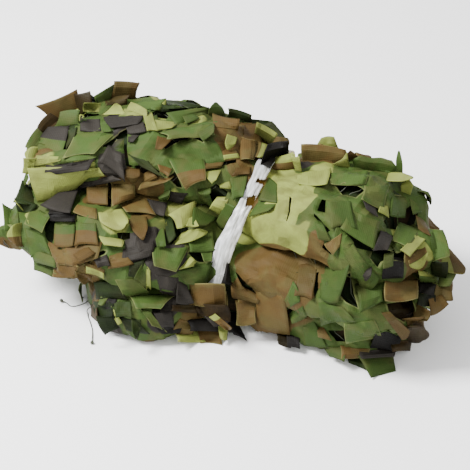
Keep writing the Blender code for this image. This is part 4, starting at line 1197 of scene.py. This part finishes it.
def add_shown_leaf(bm, number, row):
    """One leaf of the photograph, laid over the cloth along the sight through each of its points."""
    look, held_a, held_b, free_b, free_a, stand_off, bow = row
    name, *words = look.split()
    outline = next((word for word in words if word in OUTLINES), "straight")
    draw = random.Random(f"shown {number}")
    phase = draw.uniform(-1, 1)
    tone, offset = draw.uniform(-2.2, 1.2), elsewhere(draw)
    # painted shade: a leaf that lies in the others' shade has its colour darkened
    tone += PAINTED_SHADE_TONE * ("shade" in words)
    waist_in, bulge_out = draw.uniform(-0.16, 0.10), draw.uniform(-0.10, 0.12)
    lean, curl = draw.uniform(-0.45, 0.45), draw.uniform(-0.7, 0.9)
    fold_way, fold_at, fold = draw.uniform(0, math.pi), draw.uniform(-0.4, 0.4), draw.uniform(-0.20, 0.20)
    ring = [held_a, held_b, free_b, free_a]
    seen_far = [outer_tree.ray_cast(camera_spot, sight(*corner))[3] for corner in ring]
    # past the cloth's outline a leaf is held by an edge that lies on the cloth, if it has one
    turned = next((n for n in (0, 2, 1, 3) if seen_far[n] and seen_far[(n + 1) % 4]), 0)
    ring = ring[turned:] + ring[:turned]
    free = [seen_far[(turned + 2) % 4], seen_far[(turned + 3) % 4]]
    held = [held_at(corner) for corner in ring[:2]]
    corners = [held[0][0], held[1][0], Vector(ring[2]), Vector(ring[3])]
    usual = (held[0][1] + held[1][1]) / 2
    far = [held[0][1], held[1][1], free[0] or held[1][1], free[1] or held[0][1]]
    far = [min(max(value, usual - DEPTH_SPREAD), usual + DEPTH_SPREAD) for value in far]
    verts = bmesh.ops.create_grid(bm, x_segments=SHOWN_FINE, y_segments=SHOWN_FINE, size=1.0)["verts"]
    cloth, paint, tones, line = cloth_layers(bm)
    wide = ((corners[1] - corners[0]).length + (corners[2] - corners[3]).length) * PIXEL_SIZE / 2
    long = ((corners[3] - corners[0]).length + (corners[2] - corners[1]).length) * PIXEL_SIZE / 2
    for vert in verts:
        x, y = vert.co.x, (vert.co.y + 1) / 2
        if outline == "straight":
            shaped_x, shaped_y = x * (1 + waist_in * math.sin(math.pi * y)), y * (1 + bulge_out * (1 - x * x))
        else:
            shaped_x, shaped_y = outlined(outline, x, y, phase)
        u = (shaped_x + 1) / 2
        pixel = corners[0].lerp(corners[1], u).lerp(corners[3].lerp(corners[2], u), shaped_y)
        held_far, free_far = far[0] + (far[1] - far[0]) * u, far[3] + (far[2] - far[3]) * u
        chord = held_far * (1 - shaped_y) + free_far * shaped_y
        height = -HELD_SUNK + (stand_off / 1000 + HELD_SUNK) * min(1.0, 1.5 * y) ** 0.8
        height += bow / 1000 * 4 * y * (1 - y)
        height += stand_off / 1000 * y * (lean * x + curl * y * x * x * (1 if x > 0 else 0.5))
        from_fold = math.cos(fold_way) * x + math.sin(fold_way) * (2 * y - 1) - fold_at
        height += min(stand_off / FULL_FOLD, 1.0) * fold * abs(from_fold) * wide / 2
        way = sight(pixel.x, pixel.y)
        hit = outer_tree.ray_cast(camera_spot, way)[3]
        over = chord - height
        if hit is not None and y > FREE_FROM:
            over = min(over, hit - NEAR_MARGIN)
        over = min(over, (camera_spot.z - FLOOR_MARGIN) / -way.z)
        if hit is None:
            over = max(over, (camera_spot.z - cad_box[1][2]) / -way.z)
        flat = Vector((shaped_x * wide / 2, shaped_y * long, 0.0))
        large, small = (noise.noise(flat / spacing + offset) for spacing in SHOWN_SPACINGS)
        ripple = abs(large) * 2 - 0.5 + SMALL_CREASE * small
        vert[cloth] = flat + offset
        vert[paint] = colour_calls(name, (y, (x + 1) / 2, 1 - y, (1 - x) / 2)[turned])
        vert[tones] = tone
        # pale edge, partly a painted highlight, on lit leaves that stand off
        pale = y > 0.01 and tone > EDGE_HIGHLIGHT_TONE and stand_off > EDGE_HIGHLIGHT_STAND and not name.startswith("dark")
        vert[line] = float(pale and (abs(x) > 0.99 or y > 0.99))
        vert.co = camera_spot + way * (over - ripple * SHOWN_CREASE * min(1.0, 2 * y))
        vert.co = [held_in(vert.co[axis], axis) for axis in range(3)]
        vert.co.z = max(vert.co.z, LEAF_CLEAR)


shown = bmesh.new()
cloth_layers(shown)
for number, row in enumerate(SHOWN_LEAVES):
    add_shown_leaf(shown, number, row)
bmesh.ops.recalc_face_normals(shown, faces=shown.faces)
shown_leaves = new_object("front_leaves", shown, leaf_cloth)
give_thickness(shown_leaves, CLOTH_THICK)
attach(shown_leaves, "root")

# The tie: a strip of milky polyethylene film drawn tight round the waist and crossed over itself, so that it
# is cloudy where two layers meet and clear at its right edge and in two small windows.
FILM_EDGES = (                # height, and how far its left and right edges lie from its middle, on the front
    (0.000, -0.0130, 0.0100),
    (0.077, -0.0140, 0.0076),
    (0.098, -0.0150, 0.0090),
    (0.120, -0.0150, 0.0108),
    (0.134, -0.0095, 0.0130),
    (0.145, -0.0066, 0.0132),
    (0.157, -0.0030, 0.0150),
    (0.170, -0.0034, 0.0158),
    (0.180, -0.0040, 0.0144),
)
FILM_HALF = 0.012             # half its width behind
BEHIND_REACH = 0.05           # how far from its middle to the back it takes that width
STRAP_GAP = 0.0008            # between it and the waist
FILM_THICK = 0.0005
FILM_STEP = 0.003             # between its points along it
FILM_COLUMNS = 20             # faces across it
FILM_WRINKLE = 0.0006         # height of its wrinkles
FILM_EDGE = 0.0011            # how far its edges wander
LOOP_SMOOTHINGS = 3
FILM_ROUND = 0.12             # metres along it for each radian round the waist, for its drawn lines
CLEAR_LEAST = 0.16            # how clear it is in its left half
CLEAR_MORE = 0.42             # how much clearer at its right edge
CLEAR_FULL = 1.3              # and in the two windows
CLEAR_WINDOWS = (             # their corners in the photograph's pixels
    ((258, 173), (267, 175), (265, 184), (256, 182)),
    ((247, 196), (256, 196), (254, 206), (245, 206)),
)

ring = [Vector((spot.y, spot.z)) for spot in waist_spots]
ring = [ring[i] for i in geometry.convex_hull_2d(ring)]
film = bmesh.new()
clear = film.verts.layers.float.new("clear")
film_way = film.verts.layers.float_vector.new("cloth")
loop_spots = []
for i, point in enumerate(ring):
    after = ring[(i + 1) % len(ring)]
    steps = max(1, round((after - point).length / FILM_STEP))
    loop_spots += [point.lerp(after, j / steps) for j in range(steps)]
ring_middle = sum(loop_spots, Vector((0.0, 0.0))) / len(loop_spots)
for _ in range(LOOP_SMOOTHINGS):
    loop_spots = [(loop_spots[i - 1] + spot * 2 + loop_spots[(i + 1) % len(loop_spots)]) / 4
                  for i, spot in enumerate(loop_spots)]
verts = []
for i, point in enumerate(loop_spots):
    along = loop_spots[(i + 1) % len(loop_spots)] - loop_spots[i - 1]
    outward = Vector((along.y, -along.x)).normalized()
    if outward.dot(point - ring_middle) < 0:
        outward = -outward
    verts.append(film.verts.new((0.0, *(point + outward * STRAP_GAP))))
edges = [film.edges.new((verts[i], verts[(i + 1) % len(verts)])) for i in range(len(verts))]
columns = {vert: 0 for vert in verts}
for column in range(1, FILM_COLUMNS + 1):
    grown = bmesh.ops.extrude_edge_only(film, edges=edges)["geom"]
    edges = [item for item in grown if isinstance(item, bmesh.types.BMEdge)
             and all(vert not in columns for vert in item.verts)]
    columns |= {item: column for item in grown if isinstance(item, bmesh.types.BMVert)}
heights, left_edges, right_edges = zip(*FILM_EDGES)
for vert, column in columns.items():
    share = 2 * column / FILM_COLUMNS - 1
    left_edge = float(np.interp(vert.co.z, heights, left_edges))
    right_edge = float(np.interp(vert.co.z, heights, right_edges))
    behind = min(max((vert.co.y - ring_middle.x) / BEHIND_REACH, 0.0), 1.0)
    left_edge += (-FILM_HALF - left_edge) * behind
    right_edge += (FILM_HALF - right_edge) * behind
    round_way = math.atan2(vert.co.z - ring_middle.y, vert.co.y - ring_middle.x)
    uneven = noise.noise(Vector((9 * round_way, 3.1 if share > 0 else 7.7, 0.0))) * FILM_EDGE
    vert.co.x = left_edge + (right_edge - left_edge) * (share + 1) / 2 + share * uneven
    lift = FILM_WRINKLE * (noise.noise(Vector((share * 1.6, 14 * round_way, 1.0))) + 0.7)
    lift += FILM_WRINKLE * 0.8 * abs(noise.noise(Vector((share * 4.0, 5 * round_way, 4.0))))
    outward = Vector((0.0, vert.co.y - ring_middle.x, vert.co.z - ring_middle.y)).normalized()
    vert.co += outward * max(lift, 0.0) + TO_FRAME
    vert[film_way] = (share * FILM_HALF, round_way * FILM_ROUND, 0.0)
    in_window = any(gap_side(pixel_of(vert.co), window)[1] < 0 for window in CLEAR_WINDOWS) and behind == 0
    vert[clear] = CLEAR_FULL if in_window else CLEAR_LEAST + CLEAR_MORE * max(0.0, share + 0.1) ** 0.7
    vert.co.z = max(vert.co.z, FLOOR_CLEAR)
bmesh.ops.recalc_face_normals(film, faces=film.faces)

# Milky polyethylene film: smooth and half glossy, with fine lines along it from its drawing, where the light
# comes through in streaks.
film_material = bpy.data.materials.new("milky polyethylene film")
film_material.use_nodes = True
tree = film_material.node_tree
shader = tree.nodes["Principled BSDF"]
film_spot = add_node(tree, "ShaderNodeAttribute", attribute_name="cloth").outputs["Vector"]
clear_share = add_node(tree, "ShaderNodeAttribute", attribute_name="clear").outputs["Fac"]
stretch = add_node(tree, "ShaderNodeMapping", {"Vector": film_spot, "Scale": (260.0, 30.0, 1.0)})
drawn_lines = add_node(tree, "ShaderNodeTexNoise", {"Vector": stretch.outputs[0], "Scale": 1.0,
                                                    "Detail": 3.0})
cloud = add_node(tree, "ShaderNodeMapRange", {"Value": drawn_lines.outputs["Fac"], "From Min": 0.3,
                                              "From Max": 0.7, "To Min": 0.0, "To Max": 1.0})
milk = add_node(tree, "ShaderNodeMix", {0: cloud.outputs[0], 6: linear("A3A5A2"), 7: linear("D6D7DA")},
                data_type="RGBA")
tree.links.new(milk.outputs[2], shader.inputs["Base Color"])
shader.inputs["Roughness"].default_value = 0.26
shader.inputs["IOR"].default_value = 1.51
shader.inputs["Specular IOR Level"].default_value = 0.6
film_bump = add_node(tree, "ShaderNodeBump", {"Strength": 0.4, "Distance": 0.0012,
                                              "Height": drawn_lines.outputs["Fac"]})
tree.links.new(film_bump.outputs[0], shader.inputs["Normal"])
streaked = add_node(tree, "ShaderNodeMath", {0: drawn_lines.outputs["Fac"], 1: -1.5, 2: clear_share},
                    operation="MULTIPLY_ADD")
shown_through = add_node(tree, "ShaderNodeMath", {0: streaked.outputs[0], 1: 0.75},
                         operation="ADD", use_clamp=True)
lit_through = add_node(tree, "ShaderNodeBsdfTranslucent", {"Color": linear("E8EADF")})
cloudy = add_node(tree, "ShaderNodeMixShader", {0: 0.22, 1: shader.outputs[0], 2: lit_through.outputs[0]})
see_through = add_node(tree, "ShaderNodeBsdfTransparent", {"Color": linear("E9E2CE")})
film_look = add_node(tree, "ShaderNodeMixShader", {0: shown_through.outputs[0], 1: cloudy.outputs[0],
                                                   2: see_through.outputs[0]})
tree.links.new(film_look.outputs[0], tree.nodes["Material Output"].inputs["Surface"])
strap_film = new_object("strap_film", film, film_material)
give_thickness(strap_film, FILM_THICK)
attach(strap_film, "root")
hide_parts("tie_strap")

# Leaves on the sides that the photograph doesn't show. They lie over the outer cloth as its own open leaves
# do, hang mostly downwards, and carry the colours of the place where they lie.
OVER_COUNT = 330
OVER_LONG = (0.024, 0.046)
OVER_WIDE = (0.018, 0.036)
OVER_RISE = (0.004, 0.013)
OVER_SUNK = 0.002             # how far such a leaf's held edge lies under the cloth
OVER_CREASE = 0.0022          # height of its creases
OVER_SPACING = 0.016          # and how far apart they lie
OVER_PRINT = 0.7              # strength of the photograph's patches on it
OVER_FINE = 6                 # faces along each side of it
LEAST_HEIGHT = 0.022          # of its held edge over the floor
WAIST_CLEAR = 0.034           # between its held edge and the tie's middle
SEEN_DEPTH = 0.012            # cloth within this of the first that the camera meets shows in the photograph
HIDDEN_MARGIN = 0.0005        # a point less than this in front of the cloth counts as hidden
OVER_FREE = 0.16              # how far such a leaf keeps straight where the cloth under it curves away
MOST_IN_FRONT = 2             # points of such a leaf that may show in front of the cloth in the photograph
LEAST_GAP = 0.017             # between the roots of two such leaves

draw = random.Random("leaves on the other sides")
cloth_spots = [(vert.co.copy(), vert.normal.copy()) for vert in outer_cloth.data.vertices
               if vert.co.z > LEAST_HEIGHT]
draw.shuffle(cloth_spots)
roots = []
for spot, normal in cloth_spots:
    hit = outer_tree.ray_cast(camera_spot, (spot - camera_spot).normalized())[0]
    in_view = hit is not None and (hit - spot).length < SEEN_DEPTH
    at_waist = abs(spot.x - TO_FRAME.x) < WAIST_CLEAR
    if in_view or at_waist or len(roots) >= OVER_COUNT:
        continue
    if all((spot - other[0]).length > LEAST_GAP for other in roots):
        roots.append((spot, normal))
over = bmesh.new()
cloth, paint, tones, line = cloth_layers(over)
root_calls = painted([spot[:] for spot, normal in roots], OVER_PRINT)
for (spot, normal), call in zip(roots, root_calls):
    length, width, rise = draw.uniform(*OVER_LONG), draw.uniform(*OVER_WIDE), draw.uniform(*OVER_RISE)
    down = Vector((draw.uniform(-0.8, 0.8), draw.uniform(-0.8, 0.8), -0.8))
    out = (down - normal * down.dot(normal)).normalized()
    side = normal.cross(out)
    outline, phase, tone = draw.choice(OUTLINES), draw.uniform(-1, 1), draw.uniform(-1, 1)
    offset = elsewhere(draw)
    verts = bmesh.ops.create_grid(over, x_segments=OVER_FINE, y_segments=OVER_FINE, size=1.0)["verts"]
    for vert in verts:
        x, y = vert.co.x, (vert.co.y + 1) / 2
        shaped_x, shaped_y = outlined(outline, x, y, phase)
        flat = spot + side * (shaped_x * width / 2) + out * (shaped_y * length)
        under, under_normal = outer_tree.find_nearest(flat)[:2]
        height = -OVER_SUNK + (rise + OVER_SUNK) * min(1.0, 2.2 * y) ** 0.7 * (1 - 0.35 * y)
        ripple = noise.noise(flat / OVER_SPACING + offset) * OVER_CREASE * min(1.0, 2 * y)
        vert[cloth] = spot + Vector((shaped_x * width / 2, shaped_y * length, 0.0))
        vert[paint] = call
        vert[tones] = tone
        # their edges are drawn pale, partly as a painted highlight
        vert[line] = 0.0 if y < 0.01 else float(abs(x) > 0.99 or y > 0.99)
        lies = under.lerp(flat, OVER_FREE)
        vert.co = lies + under_normal * (height + ripple)
        vert.co = [held_in(vert.co[axis], axis) for axis in range(3)]
        vert.co.z = max(vert.co.z, LEAF_CLEAR)
    in_front = 0
    for vert in verts:
        hit = outer_tree.ray_cast(camera_spot, (vert.co - camera_spot).normalized())[3]
        in_front += hit is not None and hit > (vert.co - camera_spot).length + HIDDEN_MARGIN
    if in_front > MOST_IN_FRONT:
        bmesh.ops.delete(over, geom=verts, context="VERTS")
bmesh.ops.recalc_face_normals(over, faces=over.faces)
side_leaves = new_object("side_leaves", over, leaf_cloth)
give_thickness(side_leaves, CLOTH_THICK)
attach(side_leaves, "root")

# The backing net: dark green polyethylene cord knotted into open meshes under the cloth. It shows as thin
# dark lines across some holes, and its loose ends come out at the left.
BACKING_THICK = 0.0011
BACKING_DEPTH = 0.005         # under the outer cloth
BACKING_APART = 0.55          # cells between two cords
BACKING_SWING = 0.3           # cells that a cord swings to and fro between its neighbours
BACKING_CLEAR = 0.9           # cells from the waist's middle without a cord
BACKING_FIRST = 0.6           # cells from the left end to the first cord
BACKING_TOP = (0.3, 4.8, 0.15)     # the first and the last cell and the step of a cord across the top
BACKING_FRONT = (0.3, 2.8, 0.08)   # the same in folds, up the front

# Polyethylene cord: half matt, and dark green all over.
cord_material = bpy.data.materials.new("dark green polyethylene cord")
cord_material.use_nodes = True
cord_shader = cord_material.node_tree.nodes["Principled BSDF"]
cord_shader.inputs["Base Color"].default_value = linear("2E3320")
cord_shader.inputs["Roughness"].default_value = 0.55
cord_shader.inputs["IOR"].default_value = 1.51


def new_cord(name, lines, thickness):
    """One or more cords along lists of points, with closed ends."""
    curve = bpy.data.curves.new(name, "CURVE")
    curve.dimensions = "3D"
    curve.bevel_depth = thickness / 2
    curve.bevel_resolution = 2
    curve.use_fill_caps = True
    for points in lines:
        spline = curve.splines.new("POLY")
        spline.points.add(len(points) - 1)
        for spot, point in zip(spline.points, points):
            spot.co = (*point, 1.0)
    curve.materials.append(cord_material)
    cord = bpy.data.objects.new(name, curve)
    bpy.context.scene.collection.objects.link(cord)
    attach(cord, "root")
    return cord


def under_cloth(a, b, c):
    """A point of the backing net, just under the outer cloth."""
    spot, normal = outer_tree.find_nearest(place(a, b, c) + TO_FRAME)[:2]
    return spot - normal * BACKING_DEPTH


backing_lines = []
for row in range(int((CELLS_LONG - 1) / BACKING_APART)):
    a = BACKING_FIRST + row * BACKING_APART
    if abs(a - WAIST_MIDDLE) < BACKING_CLEAR:
        continue
    top_line = [under_cloth(a + BACKING_SWING * math.sin(3 * b), b, FOLD_COUNT)
                for b in np.arange(*BACKING_TOP)]
    front_line = [under_cloth(a + BACKING_SWING * math.sin(5 * c), 0.0, c) for c in np.arange(*BACKING_FRONT)]
    backing_lines += [top_line, front_line]
new_cord("backing_net", backing_lines, BACKING_THICK)

# The loose cord ends: two ends of the backing net's cord that lie out on the floor at the left. Each comes
# out of the lowest fold's end and has a knot.
CORD_THICK = 0.0012
CORD_STEP = 2.5 * CORD_THICK  # between its points along it
KNOT_SIZE = 0.0044
KNOT_TURNS = 9                # how fast the cord's turns wind round a knot
KNOT_RIDGE = 0.0003           # and how high they stand
TOUCH = 0.0003                # between the cord and what it comes out of, and its knot
CURVE_STEPS = 20              # points between two of a route's, before they are spaced evenly
HALVINGS = 12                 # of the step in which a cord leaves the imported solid
CORD_ROUTES = {
    "left": (
        (-0.1500, -0.1050, 0.0140),
        (-0.1745, -0.1113, 0.0060),
        (-0.1830, -0.1235, 0.0008),
        (-0.1935, -0.1350, 0.0008),
        (-0.2037, -0.1321, 0.0008),
        (-0.2090, -0.1325, 0.0022),
    ),
    "front": (
        (-0.1480, -0.1150, 0.0140),
        (-0.1685, -0.1335, 0.0060),
        (-0.1660, -0.1410, 0.0008),
        (-0.1545, -0.1535, 0.0008),
        (-0.1440, -0.1660, 0.0008),
        (-0.1330, -0.1850, 0.0022),
    ),
}


def smooth_route(points, step):
    """Points at even steps along a smooth curve through a cord's route."""
    ends = [2 * points[0] - points[1]] + points + [2 * points[-1] - points[-2]]
    fine = []
    for i in range(1, len(ends) - 2):
        for j in range(CURVE_STEPS):
            t = j / CURVE_STEPS
            p0, p1, p2, p3 = ends[i - 1:i + 3]
            bend = (2 * p0 - 5 * p1 + 4 * p2 - p3) * t * t + (3 * p1 - p0 - 3 * p2 + p3) * t ** 3
            fine.append(p1 + ((p2 - p0) * t + bend) / 2)
    fine.append(points[-1])
    samples = [fine[0]]
    gone = 0.0
    for before, after in zip(fine, fine[1:]):
        gone += (after - before).length
        if gone >= step:
            samples.append(after)
            gone = 0.0
    samples[-1] = fine[-1]
    return samples


def outside_cloth(samples, cloth_tree):
    """A cord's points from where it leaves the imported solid, as the solid's own cord does."""
    def clear_of(point):
        spot, normal = cloth_tree.find_nearest(point)[:2]
        way = point - spot
        return way.dot(normal) > 0 and way.length > CORD_THICK / 2 + TOUCH

    last_in = max(i for i, point in enumerate(samples) if not clear_of(point))
    inside, outside = samples[last_in], samples[last_in + 1]
    for _ in range(HALVINGS):
        middle = (inside + outside) / 2
        if clear_of(middle):
            outside = middle
        else:
            inside = middle
    return [outside] + samples[last_in + 2:]


solid = bpy.data.objects["net_bundle"]
solid_shape = bmesh.new()
solid_shape.from_mesh(solid.data)
bmesh.ops.transform(solid_shape, matrix=solid.matrix_world, verts=solid_shape.verts)
solid_tree = BVHTree.FromBMesh(solid_shape)
solid_shape.free()
for name, route in CORD_ROUTES.items():
    along_route = smooth_route([Vector(point) + TO_FRAME for point in route], CORD_STEP)
    samples = outside_cloth(along_route, solid_tree)
    cord = new_cord(f"loose_cord_{name}", [samples], CORD_THICK)
    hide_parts(f"cord_end_{name}")
    ahead = (samples[-1] - samples[-2]).normalized()
    centre = samples[-1] + ahead * (KNOT_SIZE / 2 + TOUCH)
    centre.z = max(centre.z, KNOT_SIZE / 2)
    ball = bmesh.new()
    bmesh.ops.create_icosphere(ball, subdivisions=3, radius=KNOT_SIZE / 2)
    for vert in ball.verts:
        turns = math.sin(vert.co.x / KNOT_SIZE * KNOT_TURNS + 4 * math.atan2(vert.co.z, vert.co.y))
        vert.co += vert.co.normalized() * KNOT_RIDGE * turns + centre
    knot = new_object(f"loose_knot_{name}", ball, cord_material)
    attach(knot, "root")
    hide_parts(f"cord_knot_{name}")

# The studio: white paper under the bundle, and soft lights from the upper left and from the right.
PAPER_HALF = 4.0
LIGHTS = (                    # name, place, size and watts
    ("key", (-1.2, -0.8, 2.0), 0.8, 185),
    ("fill", (1.3, -1.2, 1.2), 1.4, 5),
)
LIGHT_AIM = Vector((0, 0, 0.08))
WORLD_LIGHT = 1.4
paper = bmesh.new()
bmesh.ops.create_grid(paper, x_segments=1, y_segments=1, size=PAPER_HALF)
white = bpy.data.materials.new("white studio paper")
white.use_nodes = True
white.node_tree.nodes["Principled BSDF"].inputs["Base Color"].default_value = linear("F6F6F6")
white.node_tree.nodes["Principled BSDF"].inputs["Roughness"].default_value = 0.9
floor = new_object("studio_floor", paper, white)
world = bpy.data.worlds.new("studio")
world.use_nodes = True
world.node_tree.nodes["Background"].inputs["Color"].default_value = (1.0, 1.0, 1.0, 1.0)
world.node_tree.nodes["Background"].inputs["Strength"].default_value = WORLD_LIGHT
bpy.context.scene.world = world
for name, spot, size, power in LIGHTS:
    lamp = bpy.data.objects.new(name, bpy.data.lights.new(name, "AREA"))
    lamp.data.size = size
    lamp.data.energy = power
    lamp.location = spot
    lamp.rotation_euler = (LIGHT_AIM - Vector(spot)).to_track_quat("-Z", "Y").to_euler()
    bpy.context.scene.collection.objects.link(lamp)
